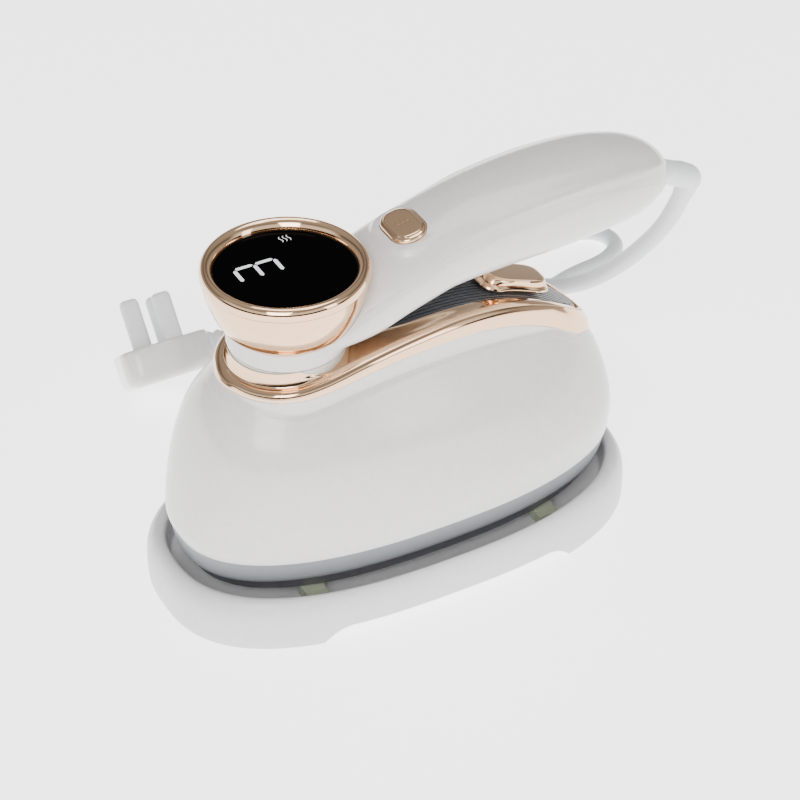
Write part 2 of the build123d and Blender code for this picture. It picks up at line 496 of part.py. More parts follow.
def build_body():
    opening = trim_prism(0.0, DECK_ZONE_LOW, DECK_ZONE_TOP)
    shell = body_solid(0.0) - body_solid(BODY_WALL)
    floor_hole = oval_prism(BODY_X, 0.0, BODY_LEVELS[0][0] + 2 * BODY_WALL,
                            FLOOR_HALF_LENGTH, FLOOR_HALF_WIDTH)
    shell = shell - floor_hole - opening
    band = (opening & below_curve(TRIM_CREST)) - below_curve(TRIM_CREST, TRIM_DEPTH)
    crest = max(band.edges(), key=lambda edge: edge.bounding_box().max.Z)
    band = fillet(crest, TRIM_ROUNDING)
    inner = trim_prism(TRIM_WIDTH, DECK_ZONE_LOW, DECK_ZONE_TOP)
    trim = band - inner - disc(PIVOT_X, SEAT_Z, DECK_ZONE_TOP, SEAT_RADIUS)
    deck = (inner & below_curve(TRIM_CREST, DECK_DROP)) - below_curve(TRIM_CREST, DECK_DROP + DECK_THICKNESS)
    floor_ring = disc(PIVOT_X, FLOOR_RING_LOW, SEAT_Z, SEAT_RADIUS) & inner
    deck = (deck - disc(PIVOT_X, DECK_ZONE_LOW, DECK_ZONE_TOP, SEAT_RADIUS)) + floor_ring
    grooves = []
    for index in range(RIB_COUNT):
        y = (index - (RIB_COUNT - 1) / 2) * RIB_PITCH
        grooves.append(Pos(0, y, 0) * Box(2 * FAR, RIB_GROOVE, FAR))
    groove_zone = below_curve(TRIM_CREST) - below_curve(TRIM_CREST, DECK_DROP + RIB_DEPTH)
    groove_zone -= disc(PIVOT_X, DECK_ZONE_LOW, DECK_ZONE_TOP, SEAT_RADIUS + SEAT_MARGIN)
    deck -= Compound(grooves) & groove_zone
    deck -= disc(PIVOT_X, DECK_ZONE_LOW, DECK_ZONE_TOP, POST_RADIUS)
    for x, y in pivot_screw_spots():
        deck -= Pos(x, y, FLOOR_RING_LOW) * Cylinder(
            PIVOT_SCREW_HEAD + GAP, 2 * PIVOT_SCREW_HEAD_HEIGHT + GAP)
    deck -= filler_axis() * Cylinder(FILLER_STEM_RADIUS + SEAL_WALL, 2 * NECK_DEPTH)
    save("body_shell", shell)
    save("gilt_trim", trim)
    save("deck_panel", deck)


def build_tank():
    """Water tank in the rear of the body, with its seal, outlet and hose."""
    middle = Pos(TANK_FRONT + TANK_LENGTH / 2, 0, TANK_Z)
    roof = below_curve(TRIM_CREST, TRIM_DEPTH + TANK_CLEARANCE)
    outside = body_solid(BODY_WALL + TANK_CLEARANCE) & roof
    outside = outside & (middle * Box(TANK_LENGTH, TANK_WIDTH, TANK_HEIGHT))
    room = body_solid(BODY_WALL + TANK_CLEARANCE + TANK_WALL)
    room = room & below_curve(TRIM_CREST, TRIM_DEPTH + TANK_CLEARANCE + TANK_WALL)
    room = room & (middle * Box(TANK_LENGTH - 2 * TANK_WALL, TANK_WIDTH - 2 * TANK_WALL,
                                TANK_HEIGHT - 2 * TANK_WALL))
    place = filler_axis()
    neck_place = place * Pos(0, 0, -NECK_DEPTH / 2)
    neck = neck_place * Cylinder(FILLER_STEM_RADIUS + SEAL_WALL + NECK_WALL, NECK_DEPTH)
    bore = neck_place * Cylinder(FILLER_STEM_RADIUS + SEAL_WALL, 2 * NECK_DEPTH)
    below_deck = below_curve(TRIM_CREST, DECK_DROP + DECK_THICKNESS)
    tank = (outside - room) + (neck & below_deck) - bore
    seal_place = place * Pos(0, 0, -SEAL_LENGTH / 2)
    seal = seal_place * Cylinder(FILLER_STEM_RADIUS + SEAL_WALL, SEAL_LENGTH)
    seal -= seal_place * Cylinder(FILLER_STEM_RADIUS + FIT, 2 * SEAL_LENGTH)
    seal = seal & below_curve(TRIM_CREST, DECK_DROP + GAP)
    save("water_tank", tank)
    save("filler_seal", seal)
    rim = []
    for x, y in superellipse(FILLER_LENGTH / 2, FILLER_WIDTH / 2, FILLER_POWER,
                             count=FILLER_POINTS):
        rim.append((x, y * (1 - FILLER_WAIST * cos(pi * x / FILLER_LENGTH) ** 2), 0))
    base = extrude(closed_face(rim), amount=FILLER_BASE)
    step = RectangleRounded(FILLER_LENGTH - 2 * FILLER_STEP_X, FILLER_WIDTH - 2 * FILLER_STEP_Y,
                            FILLER_STEP_CORNER)
    flat = RectangleRounded(FILLER_TOP_LENGTH, FILLER_TOP_WIDTH, FILLER_TOP_CORNER)
    top = loft([Pos(0, 0, FILLER_BASE) * step, Pos(0, 0, FILLER_HEIGHT) * flat])
    stem_length = FILLER_STEM_LENGTH + FILLER_LIFT + FILLER_BASE
    stem = Pos(0, 0, stem_length / 2 - FILLER_STEM_LENGTH) * Cylinder(FILLER_STEM_RADIUS, stem_length)
    cap = place * (Pos(0, 0, FILLER_LIFT) * (base + top) + stem)
    save("filler_plug", cap)


def pivot_screw_spots():
    """Middles of the four screws that hold the pivot post."""
    angles = (pi / 4, 3 * pi / 4, 5 * pi / 4, 7 * pi / 4)
    return [(PIVOT_X + PIVOT_SCREW_CIRCLE * cos(a), PIVOT_SCREW_CIRCLE * sin(a)) for a in angles]


def build_swivel():
    """Hollow post on the body that the handle's collar turns round."""
    flange_top = POST_LOW + POST_FLANGE_THICKNESS
    post = disc(PIVOT_X, POST_LOW, POST_TOP, POST_RADIUS, POST_BORE)
    post += disc(PIVOT_X, POST_LOW, flange_top, POST_FLANGE_RADIUS, POST_BORE)
    bush_radius = POST_RADIUS + BUSH_WALL
    bush = disc(PIVOT_X, SEAT_Z, WASHER_Z + WASHER_THICKNESS, bush_radius, POST_RADIUS)
    bush += disc(PIVOT_X, SEAT_Z, COLLAR_LOW - GAP, BUSH_FLANGE, POST_RADIUS)
    save("pivot_bush", bush)
    top = WASHER_Z + WASHER_THICKNESS
    save("wave_washer", disc(PIVOT_X, WASHER_Z + FIT, top, WASHER_RADIUS, bush_radius))
    save("retaining_ring", disc(PIVOT_X, top, top + RETAINER_THICKNESS, RETAINER_RADIUS, POST_RADIUS))
    screws = Compound([
        screw(x, y, flange_top, PIVOT_SCREW_SHANK, PIVOT_SCREW_HEAD, PIVOT_SCREW_HEAD_HEIGHT,
              PIVOT_SCREW_LENGTH)
        for x, y in pivot_screw_spots()
    ])
    save("pivot_post", post - screws)
    save("pivot_screws", screws)


# ---------------------------------------------------------------- handle
def handle_solid(inset):
    """The handle's outer form, or the same form moved inwards by the inset."""
    faces = []
    last = len(HANDLE_SECTIONS) - 1
    for index, (distance, middle, half_width, rise, depth) in enumerate(HANDLE_SECTIONS):
        points = []
        x = PIVOT_X + distance + (inset if index == 0 else -inset if index >= last - 1 else 0)
        for across, up in superellipse(half_width - inset, 1.0, HANDLE_POWER):
            height = (rise if up > 0 else depth) - inset
            points.append((x, across, middle + up * height))
        faces.append(closed_face(points))
    return loft(faces)


def bowl_solid(grow=0.0):
    """Solid inside the display bowl's outer wall, or the same form grown outwards."""
    floor = BOWL_LOW - max(grow, 0.0)
    profile = Spline(
        (BOWL_LOW_RADIUS + grow, 0, BOWL_LOW), (BOWL_MIDDLE_RADIUS + grow, 0, BOWL_MIDDLE),
        (BOWL_TOP_RADIUS + grow, 0, BOWL_TOP), tangents=((0.45, 0, 1.0), (0.12, 0, 1.0)))
    corners = [(BOWL_TOP_RADIUS + grow, 0, BOWL_TOP), (0, 0, BOWL_TOP), (0, 0, floor)]
    if grow > 0:
        corners.append((BOWL_LOW_RADIUS + grow, 0, floor))
    corners.append((BOWL_LOW_RADIUS + grow, 0, BOWL_LOW))
    return Pos(PIVOT_X, 0, 0) * revolve(make_face(profile + Polyline(*corners)), axis=Axis.Z)


def build_handle():
    collar = Pos(PIVOT_X, 0, (COLLAR_LOW + COLLAR_TOP) / 2) * Cone(
        COLLAR_RADIUS, COLLAR_TOP_RADIUS, COLLAR_TOP - COLLAR_LOW)
    outside = handle_solid(0.0)
    button_place = handle_frame(BUTTON_X, BUTTON_Z, BUTTON_TILT)
    pad = button_place * Pos(0, 0, -PAD_SKIRT) * rounded_block(
        BUTTON_PAD_LENGTH, BUTTON_PAD_WIDTH, PAD_SKIRT + BUTTON_PAD_HEIGHT, BUTTON_PAD_CORNER)
    bowl = bowl_solid(SHUT_LINE)
    bezel_room = disc(PIVOT_X, BOWL_TOP - SHUT_LINE, ABOVE_ALL, BEZEL_OUTER + SHUT_LINE)
    pad = pad - bowl - bezel_room
    outside = outside - bowl - bezel_room
    inside = handle_solid(HANDLE_WALL) - bowl_solid(HANDLE_WALL) - disc(
        PIVOT_X, BOWL_TOP - SHUT_LINE, ABOVE_ALL, BEZEL_OUTER + HANDLE_WALL)
    upper_zone = below_curve(PARTING_LINE)
    lower = ((outside & upper_zone) + collar) - inside
    lower -= disc(PIVOT_X, COLLAR_LOW - 1.0, COLLAR_TOP, POST_RADIUS + BUSH_WALL + FIT)
    lower -= disc(PIVOT_X, WASHER_Z, COLLAR_TOP, COLLAR_POCKET)
    upper = (outside - upper_zone) + (pad - inside) - inside
    button_hole = button_place * Pos(0, 0, -BUTTON_HOLE_DEPTH) * rounded_block(
        BUTTON_LENGTH + 2 * GAP, BUTTON_WIDTH + 2 * GAP, 2 * BUTTON_HOLE_DEPTH, BUTTON_CORNER + GAP)
    upper -= button_hole
    core = handle_solid(HANDLE_WALL / 2)
    screws = []
    for distance in HANDLE_SCREWS:
        x = PIVOT_X + distance
        lower += disc(x, SCREW_SPLIT - ABOVE_ALL, SCREW_SPLIT, BOSS_RADIUS) & core
        upper += disc(x, SCREW_SPLIT, ABOVE_ALL, BOSS_RADIUS) & core
        lower -= disc(x, SCREW_SPLIT - ABOVE_ALL, SCREW_SEAT, SCREW_HEAD + GAP)
        screws.append(Pos(x, 0, SCREW_SEAT) * Rot(180, 0, 0) * screw(
            0, 0, 0, SCREW_SHANK, SCREW_HEAD, SCREW_HEAD_HEIGHT, SCREW_LENGTH))
    screws = Compound(screws)
    boot_hole = rod(BOOT_ROOT - (BOOT_CORNER - BOOT_ROOT), BOOT_CORNER, BOOT_RADIUS)
    save("handle_lower_shell", lower - screws - boot_hole - loom_hole())
    save("handle_upper_shell", upper - screws - boot_hole)
    save("handle_screws", screws)


# ---------------------------------------------------------------- display head
def loom_hole():
    """Way for the wires from the display bowl into the handle."""
    start, end = LOOM_ROUTE[1] + Vector(DISPLAY_POST_RADIUS * 6, 0, 0), LOOM_ROUTE[2]
    return rod(start, end, LOOM_RADIUS + GAP)


def build_display():
    floor_z = BOWL_LOW + BOWL_FLOOR
    above_floor = disc(PIVOT_X, floor_z, ABOVE_ALL, BEZEL_OUTER)
    bowl = bowl_solid() - (bowl_solid(-BOWL_WALL) & above_floor)
    bowl -= disc(PIVOT_X, BOWL_TOP - 1.0, ABOVE_ALL, BOWL_TOP_RADIUS - BOWL_WALL)
    bowl -= disc(PIVOT_X, BOWL_LOW - 1.0, floor_z + 1.0, POST_BORE)
    for angle in DISPLAY_POST_ANGLES:
        spot = Rot(0, 0, angle) * Pos(DISPLAY_POST_CIRCLE, 0, (floor_z + DISPLAY_BOARD_Z) / 2)
        bowl += Pos(PIVOT_X, 0, 0) * spot * Cylinder(DISPLAY_POST_RADIUS, DISPLAY_BOARD_Z - floor_z)
    save("display_bowl", bowl - loom_hole())
    lip = disc(PIVOT_X, BOWL_TOP, BEZEL_TOP, BEZEL_OUTER, BEZEL_INNER)
    lip = fillet(lip.edges().group_by(Axis.Z)[-1], BEZEL_ROUNDING)
    outer_low = lip.edges().group_by(Axis.Z)[0].sort_by(SortBy.RADIUS)[-1:]
    lip = fillet(outer_low, BEZEL_LOW_ROUNDING)
    rest_ring = disc(PIVOT_X, WINDOW_Z - BOARD_THICKNESS, WINDOW_Z, BEZEL_INNER + GAP,
                     BEZEL_INNER - BEZEL_LEDGE)
    save("display_bezel", lip + rest_ring)
    save("display_window", disc(PIVOT_X, WINDOW_Z, WINDOW_Z + WINDOW_THICKNESS, BEZEL_INNER))
    guide_z = DISPLAY_BOARD_Z + BOARD_THICKNESS
    save("display_board", disc(PIVOT_X, DISPLAY_BOARD_Z, guide_z, DISPLAY_BOARD_RADIUS))
    guide = Pos(PIVOT_X, 0, guide_z) * rounded_block(
        GUIDE_LENGTH, GUIDE_WIDTH, WINDOW_Z - guide_z, GUIDE_CORNER)
    for x in (-GUIDE_SLOT_X, GUIDE_SLOT_X):
        for y in (-GUIDE_SLOT_Y, 0.0, GUIDE_SLOT_Y):
            guide -= Pos(PIVOT_X + x, y, WINDOW_Z) * Box(GUIDE_SLOT_LENGTH, GUIDE_SLOT_WIDTH, GUIDE_WIDTH)
    save("digit_light_guide", guide)


# ---------------------------------------------------------------- inside the handle
def build_button():
    place = handle_frame(BUTTON_X, BUTTON_Z, BUTTON_TILT)
    cap = Pos(0, 0, CAP_LOW) * rounded_block(BUTTON_LENGTH, BUTTON_WIDTH, BUTTON_HEIGHT, BUTTON_CORNER)
    cap = fillet(cap.edges().group_by(Axis.Z)[-1], BUTTON_EDGE)
    plunger = Pos(0, 0, CAP_LOW - PLUNGER_LENGTH / 2) * Cylinder(PLUNGER_RADIUS, PLUNGER_LENGTH)
    save("steam_button", place * (cap + plunger))
    switch_top = CAP_LOW - PLUNGER_LENGTH - BUTTON_TRAVEL - FIT
    board_top = switch_top - SWITCH_SIZE / 2
    board = Pos(0, 0, board_top - BOARD_THICKNESS) * rounded_block(
        BUTTON_BOARD_LENGTH, BUTTON_BOARD_WIDTH, BOARD_THICKNESS, BUTTON_EDGE)
    save("button_board", place * board)
    switch = Pos(0, 0, (switch_top + board_top) / 2) * Box(SWITCH_SIZE, SWITCH_SIZE, switch_top - board_top)
    save("button_switch", place * switch)
    spring_length = CAP_LOW - board_top
    turns = Helix(pitch=spring_length / SPRING_TURNS, height=spring_length - 2 * WIRE_RADIUS,
                  radius=SPRING_RADIUS)
    wire = sweep(Plane(origin=turns @ 0, z_dir=turns % 0) * Circle(WIRE_RADIUS), path=turns)
    save("button_spring", place * Pos(0, 0, board_top + WIRE_RADIUS) * wire)


def build_handle_insides():
    board = handle_frame(CONTROL_X, CONTROL_Z, 0.0) * Box(CONTROL_LENGTH, CONTROL_WIDTH, BOARD_THICKNESS)
    chip_z = CONTROL_Z + (BOARD_THICKNESS + CHIP_HEIGHT) / 2 - CHIP_SINK
    for x, y in CHIP_SPOTS:
        board += handle_frame(CONTROL_X + x, chip_z, 0.0) * Pos(0, y, 0) * Box(
            CHIP_LENGTH, CHIP_WIDTH, CHIP_HEIGHT)
    save("control_board", board)
    terminal_place = handle_frame(TERMINAL_X, TERMINAL_Z, 0.0)
    terminal = terminal_place * Box(TERMINAL_LENGTH, TERMINAL_WIDTH, TERMINAL_HEIGHT)
    for y in TERMINAL_WAYS:
        terminal -= terminal_place * Pos(0, y, 0) * Rot(0, 90, 0) * Cylinder(
            TERMINAL_BORE, 2 * TERMINAL_LENGTH)
    save("terminal_block", terminal)
    clamp = handle_frame(CLAMP_X, CLAMP_Z, 0.0) * Box(CLAMP_LENGTH, CLAMP_WIDTH, CLAMP_HEIGHT)
    clamp -= rod(BOOT_ROOT - (BOOT_CORNER - BOOT_ROOT) * 2, BOOT_CORNER, BOOT_RADIUS)
    save("cord_clamp", clamp)
    path = FilletPolyline(*LOOM_ROUTE, radius=LOOM_BEND)
    section = Plane(origin=LOOM_ROUTE[0], z_dir=LOOM_ROUTE[1] - LOOM_ROUTE[0]) * Circle(LOOM_RADIUS)
    save("wire_loom", sweep(section, path=path))


def build_pump():
    """Pump ahead of the tank, with its two hoses."""
    low, high = Vector(PUMP_FRONT, 0, PUMP_Z), Vector(PUMP_REAR, 0, PUMP_Z)
    pump = rod(low, high, PUMP_RADIUS)
    pump += rod(high, high + Vector(PUMP_INLET, 0, 0), HOSE_BORE)
    outlet = low + Vector(PUMP_OUTLET_X, 0, -PUMP_RADIUS)
    pump += rod(outlet + Vector(0, 0, PUMP_OUTLET), outlet - Vector(0, 0, PUMP_OUTLET), HOSE_BORE)
    save("water_pump", pump)
    inlet = Vector(BODY_X + INLET_X, 0, BLOCK_TOP + GASKET_THICKNESS + COVER_THICKNESS + GAP)
    bend = inlet + Vector(0, 0, INLET_HEIGHT + HOSE_END)
    save("pump_hose", hose([outlet, outlet - Vector(0, 0, HOSE_DROP), bend - Vector(HOSE_SWING, 0, 0),
                            bend, inlet]))
    save("tank_hose", hose([high + Vector(1.0, 0, 0), Vector(TANK_FRONT, 0, PUMP_Z)]))


def hose(route):
    """Soft tube through the points, open at both ends."""
    if len(route) == 2:
        return rod(route[0], route[1], HOSE_RADIUS) - rod(route[0], route[1], HOSE_BORE)
    path = FilletPolyline(*route, radius=HOSE_RADIUS)
    plane = Plane(origin=route[0], z_dir=route[1] - route[0])
    return sweep(plane * Circle(HOSE_RADIUS), path=path) - sweep(plane * Circle(HOSE_BORE), path=path)


# ---------------------------------------------------------------- mains lead
def build_lead():
    boot = rod(BOOT_ROOT - (BOOT_CORNER - BOOT_ROOT).normalized() * BOOT_INSIDE, BOOT_CORNER, BOOT_RADIUS)
    boot += Pos(*BOOT_CORNER) * Sphere(BOOT_RADIUS)
    boot += rod(BOOT_CORNER, CORD_EXIT, BOOT_RADIUS, BOOT_END_RADIUS)
    save("cord_boot", boot)
    save("cord_lead", cord_tube(LEAD_ROUTE, {}, "cord_lead"))
    save("cord_tail", cord_tube(TAIL_ROUTE, LOOP_FOLDS, "cord_tail"))
    across, high = COIL_TURNS_ACROSS * CORD_DIAMETER, COIL_LAYERS * CORD_DIAMETER
    x, y, z = COIL_CENTRE
    coil = Pos(x, y, z) * Cylinder(COIL_RADIUS + across / 2, high)
    coil -= Pos(x, y, z) * Cylinder(COIL_RADIUS - across / 2, high + 2.0)
    save("cord_coil", coil)
    inside = Box(across + 2 * TIE_CLEARANCE, 2 * TIE_WIDTH, high + TIE_CLEARANCE)
    tie = Box(across + 2 * (TIE_CLEARANCE + TIE_THICKNESS), TIE_WIDTH,
              high + TIE_CLEARANCE + 2 * TIE_THICKNESS) - inside
    save("cord_tie", Pos(x, y, z) * Rot(0, 0, TIE_ANGLE) * Pos(COIL_RADIUS, 0, 0) * tie)


def plug_frame():
    """Place of the plug: its length along its own X, its pins along its own Z."""
    return Pos(*PLUG_CENTRE) * Rot(PLUG_ROLL, 0, 0) * Rot(0, 0, PLUG_YAW)


def build_plug():
    place = plug_frame()
    half_length, half_width = PLUG_LENGTH / 2, PLUG_WIDTH / 2
    shoulder = half_length - PLUG_SHOULDER_LENGTH
    one_side = [(half_length, PLUG_NECK), (shoulder, half_width), (PLUG_CUT - half_length, half_width),
                (-half_length, half_width - PLUG_CUT)]
    other_side = [(x, -y) for x, y in reversed(one_side)]
    outline = Polyline(*one_side, *other_side, close=True)
    body = Pos(0, 0, -PLUG_HEIGHT / 2) * extrude(make_face(outline), amount=PLUG_HEIGHT)
    body = fillet(body.edges().filter_by(Axis.Z), PLUG_SIDE_ROUNDING)
    body = fillet(body.edges().group_by(Axis.Z)[0], PLUG_BACK_ROUNDING)
    pins = []
    for x, y, length in ((EARTH_X, 0.0, EARTH_LENGTH), (LIVE_X, -LIVE_Y, LIVE_LENGTH),
                         (LIVE_X, LIVE_Y, LIVE_LENGTH)):
        pin = Pos(x, y, PLUG_HEIGHT / 2) * rounded_block(PIN_LENGTH, PIN_WIDTH, length, PIN_CORNER)
        pins.append(fillet(pin.edges().group_by(Axis.Z)[-1], PIN_TIP))
    save("plug_body", place * body)
    save("plug_pins", place * Compound(pins))
    relief = rod(RELIEF_ROOT, RELIEF_TIP, RELIEF_RADIUS - RELIEF_GROOVE, RELIEF_END_RADIUS)
    for rib in range(RELIEF_RIBS):
        spot = RELIEF_ROOT + PLUG_ALONG * (RIB_START + rib * RIB_STEP)
        relief += rod(spot, spot + PLUG_ALONG * RIB_LENGTH, RELIEF_RADIUS - RIB_TAPER * rib)
    save("plug_relief", relief)


if __name__ == "__main__":
    build_tray()
    build_heater()
    build_body()
    build_tank()
    build_swivel()
    build_handle()
    build_display()
    build_button()
    build_handle_insides()
    build_pump()
    build_lead()
    build_plug()
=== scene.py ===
import json
import math

import bmesh
import bpy
import numpy as np
from mathutils import Matrix, Vector
from mathutils.bvhtree import BVHTree


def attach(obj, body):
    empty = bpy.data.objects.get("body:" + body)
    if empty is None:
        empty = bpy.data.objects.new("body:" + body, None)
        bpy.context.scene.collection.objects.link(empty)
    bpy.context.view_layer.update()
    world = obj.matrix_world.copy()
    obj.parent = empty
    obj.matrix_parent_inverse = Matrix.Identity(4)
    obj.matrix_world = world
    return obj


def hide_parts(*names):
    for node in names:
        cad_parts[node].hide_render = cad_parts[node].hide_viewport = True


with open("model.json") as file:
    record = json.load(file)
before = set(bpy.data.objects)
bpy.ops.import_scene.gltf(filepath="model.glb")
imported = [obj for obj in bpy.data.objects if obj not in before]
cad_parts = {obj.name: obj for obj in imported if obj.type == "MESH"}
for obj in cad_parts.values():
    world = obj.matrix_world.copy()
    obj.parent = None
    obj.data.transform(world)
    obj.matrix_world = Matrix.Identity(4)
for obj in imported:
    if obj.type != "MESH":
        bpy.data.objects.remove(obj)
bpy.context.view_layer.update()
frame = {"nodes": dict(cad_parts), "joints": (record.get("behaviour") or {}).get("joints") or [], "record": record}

# ---------------------------------------------------------------- driving sizes
# Outlines, profiles and the swivel axis are in millimetres; what MM or mm() makes is in metres
MM = 0.001
JOINTS = {joint["name"]: joint for joint in frame["joints"]}
AXIS = (JOINTS["handle_swivel"]["pos_m"][0] / MM, 0.0)      # swivel axis in plan
CORD_DIAMETER = 7.0 * MM


def mm(x, y, z):
    """A point given in millimetres."""
    return Vector((x, y, z)) * MM


# ---------------------------------------------------------------- camera, floor and light
CAMERA_AZIMUTH, CAMERA_ELEVATION = math.radians(-28.6), math.radians(37.6)
CAMERA_DISTANCE, CAMERA_TARGET = 1.0, mm(-5.3, 0, 58)
LENS, SENSOR_WIDTH = 123.75, 36.0
CLIP_NEAR, CLIP_FAR = 0.02, 50.0
# Lamps in metres and watts: name, place, width, height and power
LAMPS = (
    ("key", (-0.62, -0.80, 0.80), 0.55, 0.75, 11.0),
    ("side", (0.55, -0.95, 0.50), 0.30, 0.60, 2.4),
    ("top", (0.15, 0.15, 1.30), 0.9, 0.6, 7.0),
)
LAMP_TARGET = mm(0, 20, 50)
# Brightness of the room by height, on the camera's side and on the far side
NEAR_BANDS = ((0.0, 0.25), (0.03, 0.01), (0.20, 0.01), (0.24, 1.3), (0.52, 1.3), (0.70, 0.30), (1.0, 0.60))
FAR_BANDS = ((0.0, 0.60), (0.28, 0.45), (0.46, 0.12), (0.60, 0.40), (0.80, 0.50), (1.0, 0.60))
CAMERA_SIDE = (math.sin(CAMERA_AZIMUTH), -math.cos(CAMERA_AZIMUTH), 0.0)
SIDE_FADE = (-0.05, 0.25)       # over which the far side's bands give way to the camera side's
FLOOR_RADIUS, FLOOR_CORNERS, FLOOR_GLOW = 3.0, 96, 2.4


def build_camera():
    level = math.cos(CAMERA_ELEVATION)
    back = Vector((math.sin(CAMERA_AZIMUTH) * level, -math.cos(CAMERA_AZIMUTH) * level,
                   math.sin(CAMERA_ELEVATION)))
    camera = bpy.data.objects.new("camera", bpy.data.cameras.new("camera"))
    bpy.context.scene.collection.objects.link(camera)
    camera.data.lens = LENS
    camera.data.sensor_width = SENSOR_WIDTH
    camera.data.clip_start, camera.data.clip_end = CLIP_NEAR, CLIP_FAR
    camera.location = CAMERA_TARGET + back * CAMERA_DISTANCE
    camera.rotation_mode = "QUATERNION"
    camera.rotation_quaternion = back.to_track_quat("Z", "Y")
    bpy.context.scene.camera = camera


def area_light(name, place, width, height, power):
    light = bpy.data.lights.new(name, "AREA")
    light.shape, light.size, light.size_y = "RECTANGLE", width, height
    light.energy = power
    lamp = bpy.data.objects.new(name, light)
    bpy.context.scene.collection.objects.link(lamp)
    lamp.location = place
    lamp.rotation_mode = "QUATERNION"
    lamp.rotation_quaternion = (Vector(place) - LAMP_TARGET).to_track_quat("Z", "Y")


def band_ramp(nodes, bands):
    """Colour ramp of grey levels, one stop for each band."""
    ramp = nodes.new("ShaderNodeValToRGB")
    stops = ramp.color_ramp.elements
    for position, level in bands[1:-1]:
        stops.new(position).color = (level, level, level, 1)
    for stop, (position, level) in ((stops[0], bands[0]), (stops[-1], bands[-1])):
        stop.position, stop.color = position, (level, level, level, 1)
    return ramp


def build_room():
    """World whose brightness changes with height, with different bands near and far."""
    world = bpy.data.worlds.new("studio")
    bpy.context.scene.world = world
    world.use_nodes = True
    nodes, links = world.node_tree.nodes, world.node_tree.links
    place = nodes.new("ShaderNodeTexCoord")
    split = nodes.new("ShaderNodeSeparateXYZ")
    links.new(place.outputs["Generated"], split.inputs[0])
    toward = nodes.new("ShaderNodeVectorMath")
    toward.operation = "DOT_PRODUCT"
    toward.inputs[1].default_value = CAMERA_SIDE
    links.new(place.outputs["Generated"], toward.inputs[0])
    side = nodes.new("ShaderNodeMapRange")
    side.inputs["From Min"].default_value, side.inputs["From Max"].default_value = SIDE_FADE
    links.new(toward.outputs["Value"], side.inputs["Value"])
    blend = nodes.new("ShaderNodeMix")
    blend.data_type = "RGBA"
    links.new(side.outputs["Result"], blend.inputs["Factor"])
    for bands, identifier in ((FAR_BANDS, "A_Color"), (NEAR_BANDS, "B_Color")):
        ramp = band_ramp(nodes, bands)
        links.new(split.outputs["Z"], ramp.inputs[0])
        links.new(ramp.outputs["Color"], next(i for i in blend.inputs if i.identifier == identifier))
    colour = next(o for o in blend.outputs if o.identifier == "Result_Color")
    links.new(colour, nodes["Background"].inputs["Color"])
    nodes["Background"].inputs["Strength"].default_value = 1.0


def build_studio():
    """Three soft lamps, the room and a pale floor."""
    for lamp in LAMPS:
        area_light(*lamp)
    build_room()
    bpy.ops.mesh.primitive_circle_add(vertices=FLOOR_CORNERS, radius=FLOOR_RADIUS, fill_type="NGON")
    floor = bpy.context.object
    floor.name = "floor"
    surface = new_material("floor_paper", (0.95, 0.95, 0.95), roughness=0.9, grain=0.01,
                           grain_scale=60.0, bump=0.02, Emission_Color=(1, 1, 1, 1),
                           Emission_Strength=FLOOR_GLOW)
    floor.data.materials.append(surface)


# ---------------------------------------------------------------- materials
FINE_DETAIL, BROAD_DETAIL = 6.0, 3.0
BROAD_RATIO = 12                # the patches of gloss are this much larger than the grain
TONE_STOPS = (0.3, 0.7)


def add_noise(nodes, links, place, scale, detail):
    noise = nodes.new("ShaderNodeTexNoise")
    noise.inputs["Scale"].default_value = scale
    noise.inputs["Detail"].default_value = detail
    links.new(place.outputs["Object"], noise.inputs["Vector"])
    return noise


def new_material(name, colour, roughness=0.4, metallic=0.0, grain=0.03, grain_scale=400.0,
                 bump=0.05, bump_scale=900.0, bump_depth=0.05 * MM, wear=0.05, **extra):
    """A moulded, cast or plated surface: colour varies slightly, gloss varies, fine texture as bump."""
    material = bpy.data.materials.new(name)
    material.use_nodes = True
    nodes, links = material.node_tree.nodes, material.node_tree.links
    shader = nodes["Principled BSDF"]
    place = nodes.new("ShaderNodeTexCoord")
    fine = add_noise(nodes, links, place, grain_scale, FINE_DETAIL)
    tone = nodes.new("ShaderNodeValToRGB")
    for stop, position, change in zip(tone.color_ramp.elements, TONE_STOPS, (-grain, grain)):
        stop.position = position
        stop.color = (*(min(1.0, c * (1 + change)) for c in colour), 1)
    links.new(fine.outputs["Fac"], tone.inputs["Fac"])
    links.new(tone.outputs["Color"], shader.inputs["Base Color"])
    broad = add_noise(nodes, links, place, grain_scale / BROAD_RATIO, BROAD_DETAIL)
    gloss = nodes.new("ShaderNodeMapRange")
    gloss.inputs["To Min"].default_value = max(0.0, roughness - wear)
    gloss.inputs["To Max"].default_value = roughness + wear
    links.new(broad.outputs["Fac"], gloss.inputs["Value"])
    links.new(gloss.outputs["Result"], shader.inputs["Roughness"])
    relief = add_noise(nodes, links, place, bump_scale, BROAD_DETAIL)
    raised = nodes.new("ShaderNodeBump")
    raised.inputs["Strength"].default_value = bump
    raised.inputs["Distance"].default_value = bump_depth
    links.new(relief.outputs["Fac"], raised.inputs["Height"])
    links.new(raised.outputs["Normal"], shader.inputs["Normal"])
    shader.inputs["Metallic"].default_value = metallic
    for socket, value in extra.items():
        shader.inputs[socket.replace("_", " ")].default_value = value
    return material


